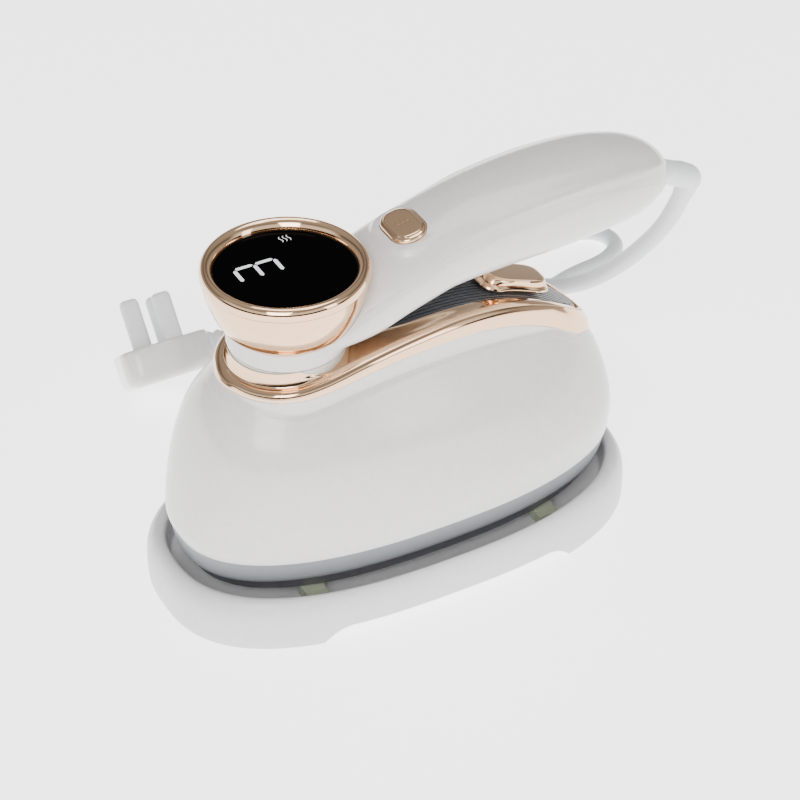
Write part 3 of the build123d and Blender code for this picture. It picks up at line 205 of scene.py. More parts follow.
def build_materials():
    return {
        "white_plastic": new_material("white_plastic", (0.70, 0.675, 0.655), 0.22, bump=0.03, wear=0.03,
                                      Coat_Weight=0.35, Coat_Roughness=0.06),
        "tray_plastic": new_material("tray_plastic", (0.66, 0.655, 0.665), 0.34, bump=0.06, wear=0.04),
        "gilt": new_material("gilt", (0.80, 0.53, 0.33), 0.09, metallic=1.0, grain=0.015,
                             bump=0.012, wear=0.03),
        "dark_plastic": new_material("dark_plastic", (0.045, 0.05, 0.06), 0.3, bump=0.05),
        "grey_plastic": new_material("grey_plastic", (0.19, 0.20, 0.215), 0.42, bump=0.06),
        "black_glass": new_material("black_glass", (0.0012, 0.0012, 0.0015), 0.12, bump=0.0, wear=0.02,
                                    Specular_IOR_Level=0.01),
        "clear_plastic": new_material("clear_plastic", (0.55, 0.66, 0.74), 0.15, bump=0.02),
        "rubber_grey": new_material("rubber_grey", (0.10, 0.105, 0.11), 0.7, bump=0.25),
        "silicone": new_material("silicone", (0.34, 0.37, 0.27), 0.3, bump=0.08,
                                 Subsurface_Weight=0.2, Subsurface_Scale=0.002),
        "cast_alloy": new_material("cast_alloy", (0.42, 0.42, 0.44), 0.5, metallic=0.9, bump=0.4,
                                   bump_scale=400.0, grain=0.12),
        "sole_metal": new_material("sole_metal", (0.20, 0.20, 0.22), 0.32, metallic=0.85, bump=0.08),
        "steel": new_material("steel", (0.55, 0.55, 0.57), 0.28, metallic=1.0, bump=0.1),
        "brass": new_material("brass", (0.75, 0.58, 0.28), 0.25, metallic=1.0, bump=0.05),
        "bearing_plastic": new_material("bearing_plastic", (0.62, 0.60, 0.54), 0.45, bump=0.1),
        "circuit_board": new_material("circuit_board", (0.02, 0.13, 0.06), 0.4, bump=0.2),
        "white_cord": new_material("white_cord", (0.72, 0.73, 0.75), 0.42, bump=0.12, wear=0.05),
    }


def dress_cad_nodes(materials):
    """Give each CAD node its slot's finish."""
    slots = {part["node"]: part["material_slot"] for part in frame["record"]["subparts"]}
    for name, node in frame["nodes"].items():
        node.data.materials.clear()
        node.data.materials.append(materials[slots[name]])


# ---------------------------------------------------------------- mains lead
BOOT_ROOT, BOOT_CORNER, CORD_EXIT = mm(99, 0, 125.2), mm(116.6, 0, 117), mm(116.8, 4.6, 107.4)
LEAD_ROUTE = [
    CORD_EXIT, mm(118.2, 12.5, 92), mm(120.4, 26.5, 73), mm(119.6, 44, 51), mm(116, 63, 31),
    mm(110.8, 80, 19), mm(105, 95.5, 12.8),
]
TAIL_ROUTE = [
    mm(98.8, 88, 4), mm(113.5, 96.5, 3.7), mm(132, 103, 3.7), mm(150, 104.5, 3.7), mm(162.5, 112, 3.7),
    mm(161, 125.5, 3.7), mm(146, 131.5, 3.8), mm(128, 130.5, 9.6), mm(112, 131.3, 19.2),
    mm(89, 129.6, 21.2), mm(56, 121.5, 20.8), mm(20, 109, 22.4), mm(-13.1, 103.2, 25.4),
]
COIL_CENTRE, COIL_RADIUS = mm(60, 110, 7.7), 36 * MM
COIL_TURNS, POINTS_PER_TURN = 5.875, 16
UPPER_TURNS, LAYER_CHANGE = 2, 3        # turns wound before the cord drops, and where the drop has ended
CROSS_SHARE = 0.2                       # last part of a turn, in which the cord moves one turn across
DROP_SWING = 0.7                        # how far inwards the cord swings as it drops, in diameters
CORD_STEPS, CORD_ROUNDNESS = 8, 6


def coil_points():
    """Turns wound inwards on the upper layer and outwards on the lower one, crossing in one place."""
    points = []
    for step in range(int(COIL_TURNS * POINTS_PER_TURN) + 1):
        turn, part = divmod(step / POINTS_PER_TURN, 1.0)
        cross = max(0.0, (part - 1 + CROSS_SHARE) / CROSS_SHARE)
        ease = cross * cross * (3 - 2 * cross)
        if turn < UPPER_TURNS:
            radius, layer = 1 - turn - ease, 1.0
        elif turn < LAYER_CHANGE:
            radius, layer = -1.0 - DROP_SWING * math.sin(math.pi * ease), 1 - ease
        else:
            radius, layer = min(1.0, turn - LAYER_CHANGE - 1 + ease), 0.0
        angle = 2 * math.pi * part
        reach = COIL_RADIUS + radius * CORD_DIAMETER
        points.append(COIL_CENTRE + Vector((reach * math.cos(angle), reach * math.sin(angle),
                                            (layer - 0.5) * CORD_DIAMETER)))
    return points


def build_cord(materials):
    curve = bpy.data.curves.new("mains_cord", "CURVE")
    curve.dimensions = "3D"
    route = LEAD_ROUTE + coil_points() + TAIL_ROUTE
    spline = curve.splines.new("NURBS")
    spline.points.add(len(route) - 1)
    for point, place in zip(spline.points, route):
        point.co = (*place, 1.0)
    spline.order_u = 3
    spline.use_endpoint_u = True
    spline.resolution_u = CORD_STEPS
    curve.bevel_depth = CORD_DIAMETER / 2
    curve.bevel_resolution = CORD_ROUNDNESS
    curve.use_fill_caps = True
    cord = bpy.data.objects.new("mains_cord", curve)
    bpy.context.scene.collection.objects.link(cord)
    curve.materials.append(materials["white_cord"])
    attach(cord, "handle")
    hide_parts("cord_lead", "cord_coil", "cord_tail")
    return cord


# ---------------------------------------------------------------- shape helpers
def smooth_curve(points, count, closed=False):
    """Evenly stepped points on a Catmull-Rom curve through the given ones."""
    data = np.array(points, float)
    last = len(data) - 1
    spans = len(data) if closed else last
    result = []
    for step in range(count):
        place = step * spans / (count if closed else count - 1)
        index = min(int(place), spans - 1)
        part = place - index
        if closed:
            a, b, c, d = (data[(index + shift) % len(data)] for shift in (-1, 0, 1, 2))
        else:
            b, c = data[index], data[index + 1]
            a = data[index - 1] if index > 0 else 2 * b - c
            d = data[index + 2] if index + 2 <= last else 2 * c - b
        result.append(0.5 * (2 * b + (c - a) * part + (2 * a - 5 * b + 4 * c - d) * part ** 2
                             + (3 * b - a - 3 * c + d) * part ** 3))
    return np.array(result)


def even_steps(points, count):
    """The same line cut into equal lengths."""
    lengths = np.r_[0, np.cumsum(np.linalg.norm(np.diff(points, axis=0), axis=1))]
    wanted = np.linspace(0, lengths[-1], count)
    return np.array([np.interp(wanted, lengths, points[:, axis]) for axis in range(points.shape[1])]).T


def skin(rings, wrap_rings=False):
    """Vertices and faces of a surface over rings of equal length, closed in a loop or by end faces."""
    size, count = len(rings[0]), len(rings)
    vertices = [tuple(point) for ring in rings for point in ring]
    faces = []
    for row in range(count if wrap_rings else count - 1):
        for column in range(size):
            right, below = (column + 1) % size, (row + 1) % count
            faces.append((row * size + column, row * size + right, below * size + right,
                          below * size + column))
    if not wrap_rings:
        faces.append(tuple(reversed(range(size))))
        faces.append(tuple(range((count - 1) * size, count * size)))
    return vertices, faces


def lathe(profile, centre, segments=120):
    """Surface of revolution round an upright axis; the profile is radius and height."""
    rings = []
    for step in range(segments):
        angle = 2 * math.pi * step / segments
        rings.append([(centre[0] + radius * math.cos(angle), centre[1] + radius * math.sin(angle), height)
                      for radius, height in profile])
    return skin(rings, wrap_rings=True)


def rounded_rectangle(length, width, corner, count=12):
    """Outline points, corner by corner."""
    points = []
    for quarter, (sx, sy) in enumerate(((1, 1), (-1, 1), (-1, -1), (1, -1))):
        for step in range(count):
            angle = (quarter + step / (count - 1)) * math.pi / 2
            points.append((sx * (length / 2 - corner) + corner * math.cos(angle),
                           sy * (width / 2 - corner) + corner * math.sin(angle)))
    return points


def circle(radius, count):
    return [(radius * math.cos(angle), radius * math.sin(angle))
            for angle in np.linspace(0, 2 * math.pi, count, endpoint=False)]


def superellipse(angle, power):
    """Point of a rounded square of half size one."""
    cosine, sine = math.cos(angle), math.sin(angle)
    return (math.copysign(abs(cosine) ** (2 / power), cosine),
            math.copysign(abs(sine) ** (2 / power), sine))


def ramp_up(value, start, length):
    """Nothing before the start, one after the length, even in between."""
    return min(1.0, max(0.0, (value - start) / length))


MERGE_DISTANCE = 0.002 * MM


def make_mesh(name, shape, unit=MM):
    """Closed mesh from vertices and faces, with merged points and outward normals."""
    vertices, faces = shape
    mesh = bpy.data.meshes.new(name)
    mesh.from_pydata([tuple(c * unit for c in vertex) for vertex in vertices], [], faces)
    work = bmesh.new()
    work.from_mesh(mesh)
    bmesh.ops.remove_doubles(work, verts=work.verts, dist=MERGE_DISTANCE)
    bmesh.ops.recalc_face_normals(work, faces=work.faces)
    work.to_mesh(mesh)
    work.free()
    return mesh


def make_object(name, mesh):
    piece = bpy.data.objects.new(name, mesh)
    bpy.context.scene.collection.objects.link(piece)
    return piece


def finish_piece(piece, body, slot_name, replaced=(), crease=35.0):
    """Smooth shading up to the crease angle, finish, body and the nodes the piece stands for."""
    mesh = piece.data
    mesh.polygons.foreach_set("use_smooth", [True] * len(mesh.polygons))
    mesh.set_sharp_from_angle(angle=math.radians(crease))
    mesh.materials.clear()
    mesh.materials.append(MATERIALS[slot_name])
    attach(piece, body)
    if replaced:
        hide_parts(*replaced)
    return piece


def evaluated(piece):
    """A plain mesh with the piece's modifiers carried out."""
    graph = bpy.context.evaluated_depsgraph_get()
    result = bpy.data.meshes.new_from_object(piece.evaluated_get(graph))
    piece.modifiers.clear()
    piece.data = result
    return piece


def cut(piece, tools, operation="DIFFERENCE"):
    """Exact boolean with each tool, which is then thrown away."""
    for tool in tools:
        step = piece.modifiers.new("cut", "BOOLEAN")
        step.operation, step.object, step.solver = operation, tool, "EXACT"
        evaluated(piece)
        bpy.data.objects.remove(tool)
    return piece


# ---------------------------------------------------------------- display head
# Profiles as radius and height
BOWL_OUTSIDE = [(20.0, 108.7), (21.6, 109.6), (23.8, 112.4), (26.1, 117.0), (27.9, 122.4), (29.0, 127.4),
                (29.4, 129.3)]
BOWL_SKIN, BOWL_STEPS = 1.6, 40
LIP_OUTSIDE = [(28.8, 129.45), (29.52, 129.5), (29.66, 130.6), (29.45, 132.0), (28.75, 133.2), (27.6, 133.8),
               (26.4, 133.5), (25.3, 132.5), (24.55, 131.0), (24.3, 129.5)]
LIP_STEPS = 44


def build_display_head():
    outside = smooth_curve(BOWL_OUTSIDE, BOWL_STEPS)
    inside = [(radius - BOWL_SKIN, height) for radius, height in outside[::-1]]
    floor = BOWL_OUTSIDE[0][1]
    profile = [(0, floor)] + [tuple(p) for p in outside] + inside[:-2] + [(0, floor + BOWL_SKIN)]
    bowl = make_object("display_bowl_skin", make_mesh("display_bowl_skin", lathe(profile, AXIS)))
    finish_piece(bowl, "handle", "gilt", ["display_bowl"])
    lip = [tuple(p) for p in smooth_curve(LIP_OUTSIDE, LIP_STEPS)]
    ring = make_object("display_bezel_ring", make_mesh("display_bezel_ring", lathe(lip, AXIS)))
    finish_piece(ring, "handle", "gilt", ["display_bezel"], crease=60.0)


# The digit is a three; its bars run across, and its sides join them
ACROSS_BARS, SIDE_BARS = 3, 2
BAR_HALF_WIDTH, BAR_HALF_LENGTH, BAR_PITCH = 0.72, 3.6, 7.6
BAR_GAP, SIDE_GAP = 0.35, 0.4
DIGIT_START = (-15.5, 8.2)
GLASS_TOP, MARK_LIFT = 130.4, 0.05      # the marks lie just above the glass
SIGN_CENTRE, SIGN_PITCH, SIGN_HEIGHT, SIGN_SWING, SIGN_HALF_WIDTH = (8.5, 17.2), 1.5, 3.4, 0.35, 0.16
WAVES, WAVE_POINTS = 3, 15


def bar_outline(x, y, half_length, turned):
    """Long six-sided bar with pointed ends."""
    tip = half_length - BAR_HALF_WIDTH
    outline = [(-half_length, 0), (-tip, BAR_HALF_WIDTH), (tip, BAR_HALF_WIDTH), (half_length, 0),
               (tip, -BAR_HALF_WIDTH), (-tip, -BAR_HALF_WIDTH)]
    return [(x + v, y + u) if turned else (x + u, y + v) for u, v in outline]


def wave_line(x, y, pitch_number, pitch, swing, height, half_width, side):
    """One edge of a wavy stroke, from low to high."""
    line = []
    for step in range(WAVE_POINTS):
        part = step / (WAVE_POINTS - 1)
        line.append((x + pitch_number * pitch + swing * math.sin(part * 2 * math.pi) + side * half_width,
                     y + (part - 0.5) * height))
    return line


def build_display_marks():
    """One lit digit and a small steam sign, just above the glass, read from the handle side."""
    height = GLASS_TOP + MARK_LIFT
    start_x, start_y = DIGIT_START
    middle_y = start_y - BAR_HALF_LENGTH - BAR_GAP
    shapes = [bar_outline(start_x + index * BAR_PITCH, middle_y, BAR_HALF_LENGTH, True)
              for index in range(ACROSS_BARS)]
    shapes += [bar_outline(start_x + (index + 0.5) * BAR_PITCH, start_y, BAR_PITCH / 2 - SIDE_GAP, False)
               for index in range(SIDE_BARS)]
    vertices, faces = [], []
    for outline in shapes:
        first = len(vertices)
        vertices += [(AXIS[0] + x, AXIS[1] + y, height) for x, y in outline]
        faces.append(tuple(range(first, first + len(outline))))
    for wave in range(WAVES):
        first = len(vertices)
        for side in (-1, 1):
            line = wave_line(*SIGN_CENTRE, wave - 1, SIGN_PITCH, SIGN_SWING, SIGN_HEIGHT,
                             SIGN_HALF_WIDTH, side)
            vertices += [(AXIS[0] + x, AXIS[1] + y, height) for x, y in line]
        for low in range(first, first + WAVE_POINTS - 1):
            faces.append((low, low + WAVE_POINTS, low + WAVE_POINTS + 1, low + 1))
    marks = make_object("display_digits", make_mesh("display_digits", (vertices, faces)))
    finish_piece(marks, "handle", "black_glass")
    marks.data.materials.clear()
    marks.data.materials.append(new_material("lit_segment", (0.75, 0.76, 0.78), 0.5, grain=0.02, bump=0.0,
                                             Emission_Color=(0.8, 0.82, 0.86, 1), Emission_Strength=0.55))


# ---------------------------------------------------------------- gilt trim
TRIM_OUTLINE = [
    (-24.8, 0.0), (-22.6, 10.4), (-16.5, 18.6), (-8.0, 23.4), (2.0, 24.7), (16.0, 24.3), (34.0, 23.0),
    (55.0, 21.2), (76.0, 18.8), (94.0, 15.9), (107.0, 12.6), (116.0, 8.4), (120.6, 3.6), (121.6, 0.0),
]
TRIM_CREST = [
    (-45.0, 94.8), (-25.0, 95.8), (0.0, 97.9), (20.0, 100.8), (40.0, 102.4), (60.0, 102.4), (78.0, 99.6),
    (95.0, 93.2), (110.0, 84.0), (124.0, 72.0), (136.0, 59.0),
]
# How far the band shows below its crest, and how wide its top is, along the axis of the iron
TRIM_SHOWS = [(-26.0, 3.4), (4.0, 4.4), (30.0, 5.2), (50.0, 6.0), (78.0, 7.6), (95.0, 8.8), (112.0, 10.6),
              (124.0, 11.4)]
TRIM_TOP = [(-26.0, 3.6), (2.0, 3.8), (9.0, 7.0), (16.0, 12.0), (24.0, 13.6), (32.0, 12.0), (42.0, 10.4),
            (66.0, 8.8), (90.0, 7.6), (110.0, 7.4), (124.0, 8.2)]
TRIM_REACH = [(-26.0, 3.2), (40.0, 3.4), (95.0, 3.2), (112.0, 2.2), (124.0, 1.6)]
# Trim's outside from its foot to its crest: reach factor, inset, height factor, rise
BAND_PROFILE = [(1, 1.4, 1, -1.2), (1, -0.2, 1, -0.2), (1, -0.45, 1, 0.5), (0.78, -0.4, 0.62, 0),
                (0.42, -0.25, 0.34, 0), (0, 0.3, 0.14, 0), (0, 1.2, 0.05, 0), (0, 2.3, 0, -0.08)]
# Inner slope behind the collar: share of the top's width, inset, rise; and the cove in front: inset, rise
SLOPE_PROFILE = [(0, 3.2, 0.0), (0.4, 1.6, -0.45), (1, 0, -0.95), (1, 0.1, -1.6), (1, 0.1, -4.0)]
COVE_PROFILE = [(2.8, 0.9), (3.2, 2.2), (3.45, 3.4), (3.55, 4.5), (3.6, 5.0)]
COVE_END, COVE_FADE = 8.0, 14.0
BAND_STEPS, BAND_DEPTH, BAND_WALL = 48, 3.0, 1.6
LEAST_REACH, SLOPE_KEPT = 0.8, 0.9      # the lip keeps this much of the body's slope
LIP_STEP, LIP_POINTS, LIP_DROP = 1.6, 4, 0.4
LIP_CURVE_STEPS = 30
# How far the lip stands off the body, from its top point down
LIP_STANDS = (0.25, 0.1, 0.02, -0.5)
STATIONS, OUTLINE_STEPS, CREST_STEPS = 260, 1600, 200
MIDDLE_BEHIND = 45                      # a point inside the trim's outline
EDGE_PROBE, PROBE_START, PROBE_LENGTH = 0.6, 25, 40
PROBE_TOP = 150.0


def along(table, x):
    return float(np.interp(x, [row[0] for row in table], [row[1] for row in table]))


CREST_LINE = smooth_curve(TRIM_CREST, CREST_STEPS)


def crest_height(x):
    return float(np.interp(x - AXIS[0], CREST_LINE[:, 0], CREST_LINE[:, 1]))


def trim_stations():
    """Points round the trim in plan, each with its outward direction."""
    outline = TRIM_OUTLINE + [(x, -y) for x, y in reversed(TRIM_OUTLINE[1:-1])]
    fine = smooth_curve([(AXIS[0] + x, y) for x, y in outline], OUTLINE_STEPS, closed=True)
    fine = even_steps(np.vstack([fine, fine[:1]]), STATIONS + 1)[:-1]
    result = []
    for index, point in enumerate(fine):
        forward = fine[(index + 1) % STATIONS] - fine[index - 1]
        outward = np.array([forward[1], -forward[0]]) / np.linalg.norm(forward)
        if outward @ (point - np.array([AXIS[0] + MIDDLE_BEHIND, 0])) < 0:
            outward = -outward
        result.append((point, outward))
    return result


def shell_tree(node):
    mesh = frame["nodes"][node].data
    return BVHTree.FromPolygons([v.co for v in mesh.vertices], [tuple(p.vertices) for p in mesh.polygons])


def shell_reach(tree, point, outward, height):
    """How far the body's outside lies beyond a point of the trim's outline at a height."""
    start = Vector((*(point + outward * PROBE_START), height)) * MM
    hit = tree.ray_cast(start, Vector((*-outward, 0)), PROBE_LENGTH * MM)
    return PROBE_START - hit[3] / MM if hit[0] else 0.0


def lip_profile(outside, top, low, reach):
    """White lip from the body's surface up to the foot of the trim, as inset and height."""
    surface = [(-stand - out, top - LIP_STEP * step)
               for step, (stand, out) in enumerate(zip(LIP_STANDS, outside))]
    rim = max(low, top + 0.5)
    lip = surface[::-1] + [(-reach - 0.5, max(low - 0.5, top + 0.3)), (-reach - 0.1, rim),
                           (-reach + 0.6, rim)]
    return list(smooth_curve(lip, LIP_CURVE_STEPS)) + [(-reach + 0.8, surface[-1][1])]


def band_profile(behind, shows, reach):
    """Trim's section as inset and rise from its crest."""
    wide = along(TRIM_TOP, behind)
    cove = ramp_up(-behind, -COVE_END, COVE_FADE)
    inner = [((share * wide + inset) * (1 - cove) + cove_inset * cove, rise * (1 - cove) + cove_rise * cove)
             for (share, inset, rise), (cove_inset, cove_rise) in zip(SLOPE_PROFILE, COVE_PROFILE)]
    outer = [(inset - factor * reach, rise - part * shows) for factor, inset, part, rise in BAND_PROFILE]
    curve = list(smooth_curve(outer + inner, BAND_STEPS))
    return curve + [(curve[-1][0], -shows - BAND_DEPTH), (-reach + BAND_WALL, -shows - BAND_DEPTH)]


def build_trim():
    """Band with a rounded crest and an inner slope; in front it rises as a cove to the collar.

    A white lip carries the body's outside up to the band."""
    tree = shell_tree("body_shell")
    rings, lips = [], []
    for point, outward in trim_stations():
        crest = crest_height(point[0])
        behind = point[0] - AXIS[0]
        above = Vector((*(point + outward * EDGE_PROBE), PROBE_TOP)) * MM
        edge = tree.ray_cast(above, Vector((0, 0, -1)), PROBE_TOP * MM)[0].z / MM
        shows = along(TRIM_SHOWS, behind)
        low = crest - shows
        top = min(edge, low) - LIP_DROP
        outside = [shell_reach(tree, point, outward, top - LIP_STEP * step) for step in range(LIP_POINTS)]
        reach = outside[0] - SLOPE_KEPT * (outside[1] - outside[0]) / LIP_STEP * (low - top)
        reach = max(LEAST_REACH, min(reach, along(TRIM_REACH, behind)))
        lips.append([(*(point - outward * inset), height)
                     for inset, height in lip_profile(outside, top, low, reach)])
        rings.append([(*(point - outward * inset), crest + rise)
                      for inset, rise in band_profile(behind, shows, reach)])
    lip = make_object("body_lip", make_mesh("body_lip", skin(lips, wrap_rings=True)))
    finish_piece(lip, "iron", "white_plastic", crease=60.0)
    trim = make_object("gilt_trim_band", make_mesh("gilt_trim_band", skin(rings, wrap_rings=True)))
    finish_piece(trim, "iron", "gilt", ["gilt_trim"], crease=50.0)


# ---------------------------------------------------------------- handle
# Distance behind the swivel axis, middle height, half width, height above it and depth below it
HANDLE_SECTIONS = [
    (2.0, 108.0, 19.0, 7.0, 5.2), (14.0, 109.5, 20.6, 9.0, 6.5), (26.0, 113.0, 20.8, 11.6, 9.3),
    (40.0, 118.0, 20.6, 13.4, 10.6), (58.0, 122.6, 20.2, 15.2, 12.6), (78.0, 126.0, 20.4, 16.6, 15.2),
    (100.0, 127.8, 20.8, 17.0, 16.6), (120.0, 128.4, 19.8, 16.4, 16.0), (134.0, 128.0, 17.4, 14.6, 14.4),
    (143.0, 127.6, 14.0, 11.8, 11.2), (148.6, 127.0, 10.0, 8.6, 8.2), (151.4, 126.6, 6.0, 5.2, 5.0),
    (152.3, 126.5, 2.0, 1.8, 1.8),
]
HANDLE_STEPS, SECTION_POINTS = 130, 120
# Line between the two shells: distance behind the axis and height
PARTING = [
    (-40.0, 113.0), (10.0, 114.6), (30.0, 120.0), (50.0, 127.6), (70.0, 133.6), (90.0, 136.6),
    (110.0, 136.8), (130.0, 133.4), (146.0, 128.4), (160.0, 124.4),
]
PARTING_STEPS, PARTING_HALF_GAP = 80, 0.03
ABOVE_HANDLE, BELOW_HANDLE, BESIDE_HANDLE = 190.0, 60.0, 60.0
ROUND_POWER, SQUARE_EXTRA = 2.25, 1.15
SQUARE_END, SQUARE_FADE = 56.0, 26.0            # where the underside's extra squareness has gone
RIDGE_ANGLE, RIDGE_SPREAD, RIDGE_HEIGHT = math.radians(37.0), math.radians(5.0), 0.045
RIDGE_START, RIDGE_FADE = 58.0, 16.0
# Collar round the swivel and the room in it for the post and ring, as radius and height
COLLAR_PROFILE = [(0, 102.3), (20.9, 102.3), (21.7, 102.9), (21.5, 105.0), (20.8, 112.0), (22.5, 119.0),
                  (0, 119.0)]
SWIVEL_ROOM = [(0, 100.0), (14.6, 100.0), (14.6, 104.6), (19.3, 104.6), (19.3, 108.2), (0, 108.2)]
# Bowl's seat: its floor, the foot of the lip, the top of the cut and the gap all round
SEAT_LOW, SEAT_SHOULDER, SEAT_TOP, SEAT_GAP = 108.4, 129.6, 150.0, 0.12
SCREW_HOLE = [(0, 90.0), (3.0, 90.0), (3.0, 114.9), (0, 114.9)]
SCREW_DISTANCES, SCREW_HOLE_CORNERS = (64.0, 84.0), 32
BUTTON_PLACE = Matrix.Translation(mm(-3.6, 0, 131.4)) @ Matrix.Rotation(math.radians(-11.0), 4, "Y")
BUTTON_SIZE, BUTTON_GAP = (13.4, 19.2, 6.0), 0.5        # length, width and corner
PAD_SIZE, PAD_LOW, PAD_TOP = (19.8, 25.4, 8.8), -8.0, 2.0      # raised pad round the button
BUTTON_HOLE_LOW, BUTTON_HOLE_TOP = -14.0, 12.0
VOXEL = 0.75 * MM
# Smoothing is strong at the swivel end above the collar's rim and slight elsewhere
SOFTEN_FACTOR, SOFTEN_ROUNDS, SOFTEN_LEAST = 0.5, 40, 0.06
SOFTEN_END, SOFTEN_FADE, RIM_TOP, RIM_FADE = 8.0, 26.0, 103.0, 2.0


def ridged_oval(distance, half_width, rise, depth):
    """Cross-section with a soft ridge high on each side, and a squarer underside near the swivel."""
    square = ROUND_POWER + SQUARE_EXTRA * ramp_up(-distance, -SQUARE_END, SQUARE_FADE)
    ridge = RIDGE_HEIGHT * ramp_up(distance, RIDGE_START, RIDGE_FADE)
    points = []
    for step in range(SECTION_POINTS):
        angle = 2 * math.pi * step / SECTION_POINTS
        across, up = superellipse(angle, ROUND_POWER if math.sin(angle) > 0 else square)
        off = min(abs(angle - RIDGE_ANGLE), abs(angle - math.pi + RIDGE_ANGLE)) / RIDGE_SPREAD
        swell = 1 + ridge * math.exp(-off * off / 2)
        points.append((across * half_width * swell, up * (rise if up > 0 else depth) * swell))
    return points


def parting_tool(shift, level):
    """Block between the parting line, moved up by the shift, and a level."""
    line = [(AXIS[0] + x, z + shift) for x, z in smooth_curve(PARTING, PARTING_STEPS)]
    rings = [[(x, side, z) for x, z in line + [(line[-1][0], level), (line[0][0], level)]]
             for side in (-BESIDE_HANDLE, BESIDE_HANDLE)]
    return make_object("tool", make_mesh("tool", skin(rings)))


def lathed_tool(profile, centre=AXIS, segments=120):
    return make_object("tool", make_mesh("tool", lathe(profile, centre, segments)))


def block(name, place, outline, low, high):
    """Upright prism in the place's own frame, outline and heights in millimetres."""
    return pillow(name, place, [(outline, low), (outline, high)])


def pillow(name, place, rows):
    """Stack of outlines in the place's frame: outline points and height, closed at both ends."""
    rings = [[place @ (Vector((x, y, z)) * MM) for x, y in outline] for outline, z in rows]
    return make_object(name, make_mesh(name, skin(rings), unit=1.0))


def soften(body):
    """Even mesh, then smoothing that blends the neck into the collar."""
    step = body.modifiers.new("even", "REMESH")
    step.mode, step.voxel_size = "VOXEL", VOXEL
    evaluated(body)
    soft = body.vertex_groups.new(name="soft")
    for vertex in body.data.vertices:
        near = ramp_up(-vertex.co.x / MM, -SOFTEN_END, SOFTEN_FADE)
        above_rim = ramp_up(vertex.co.z / MM, RIM_TOP, RIM_FADE)
        soft.add([vertex.index], SOFTEN_LEAST + (1 - SOFTEN_LEAST) * near * above_rim, "REPLACE")
    step = body.modifiers.new("soften", "SMOOTH")
    step.factor, step.iterations, step.vertex_group = SOFTEN_FACTOR, SOFTEN_ROUNDS, "soft"
    evaluated(body)


def handle_tools():
    """What is cut out of the handle: bowl's seat, swivel room, button hole and screw holes."""
    seat = [(0, SEAT_LOW)] + [(radius + SEAT_GAP, height)
                              for radius, height in smooth_curve(BOWL_OUTSIDE, BOWL_STEPS)]
    lip_radius = LIP_OUTSIDE[2][0] + SEAT_GAP
    seat += [(lip_radius, SEAT_SHOULDER), (lip_radius, SEAT_TOP), (0, SEAT_TOP)]
    hole = rounded_rectangle(*[size + BUTTON_GAP for size in BUTTON_SIZE])
    tools = [lathed_tool(seat), lathed_tool(SWIVEL_ROOM),
             block("tool", BUTTON_PLACE, hole, BUTTON_HOLE_LOW, BUTTON_HOLE_TOP)]
    for distance in SCREW_DISTANCES:
        tools.append(lathed_tool(SCREW_HOLE, (AXIS[0] + distance, 0), SCREW_HOLE_CORNERS))
    return tools


def build_handle():
    rings = [[(AXIS[0] + x, y, middle + up) for y, up in ridged_oval(x, half_width, rise, depth)]
             for x, middle, half_width, rise, depth in smooth_curve(HANDLE_SECTIONS, HANDLE_STEPS)]
    body = make_object("handle_form", make_mesh("handle_form", skin(rings)))
    pad = block("tool", BUTTON_PLACE, rounded_rectangle(*PAD_SIZE), PAD_LOW, PAD_TOP)
    cut(body, [lathed_tool(COLLAR_PROFILE), pad], "UNION")
    soften(body)
    cut(body, handle_tools())
    upper = make_object("handle_top_shell", body.data.copy())
    cut(upper, [parting_tool(PARTING_HALF_GAP, ABOVE_HANDLE)], "INTERSECT")
    cut(body, [parting_tool(-PARTING_HALF_GAP, BELOW_HANDLE)], "INTERSECT")
    body.name = "handle_under_shell"
    finish_piece(upper, "handle", "white_plastic", ["handle_upper_shell"])
    finish_piece(body, "handle", "white_plastic", ["handle_lower_shell"])


# ---------------------------------------------------------------- button and filler
# Height and inset of the cap's outline, from its skirt to its raised middle
CAP_ROWS = ((-2.4, 0.0), (2.0, 0.0), (2.75, 0.05), (3.2, 0.3), (3.5, 0.75), (3.62, 1.2), (3.72, 1.35),
            (3.98, 1.55), (4.08, 1.8), (4.1, 2.4))
CAP_STEM_RADIUS, CAP_STEM_CORNERS, CAP_STEM_LOW, CAP_STEM_TOP = 2.2, 24, -3.7, -2.3
CAP_SIGN_PITCH, CAP_SIGN_SWING, CAP_SIGN_HEIGHT, CAP_SIGN_HALF_WIDTH = 1.7, 0.5, 5.0, 0.17
CAP_SIGN_LOW, CAP_SIGN_TOP = 3.98, 5.0
FILLER_PLACE = Matrix.Translation(mm(39.5, 0, 94.2)) @ Matrix.Rotation(math.radians(20.0), 4, "Y")
# Height, length, width and waist of the cap's outline
FILLER_ROWS = (
    (0.3, 27.8, 14.6, 0.16), (0.6, 29.2, 16.0, 0.16), (1.2, 29.8, 16.6, 0.16), (1.8, 29.4, 16.2, 0.15),
    (2.3, 27.8, 14.8, 0.12), (2.7, 27.0, 14.0, 0.09), (3.2, 27.2, 14.4, 0.05), (4.3, 26.2, 14.0, 0.02),
    (5.1, 25.0, 13.2, 0.0), (5.45, 23.8, 12.2, 0.0), (5.5, 22.0, 10.8, 0.0),
)
FILLER_POWER, FILLER_POINTS = 3.4, 72
FILLER_STEM_RADIUS, FILLER_STEM_CORNERS, FILLER_STEM_LOW, FILLER_STEM_TOP = 4.0, 40, -7.0, 0.8


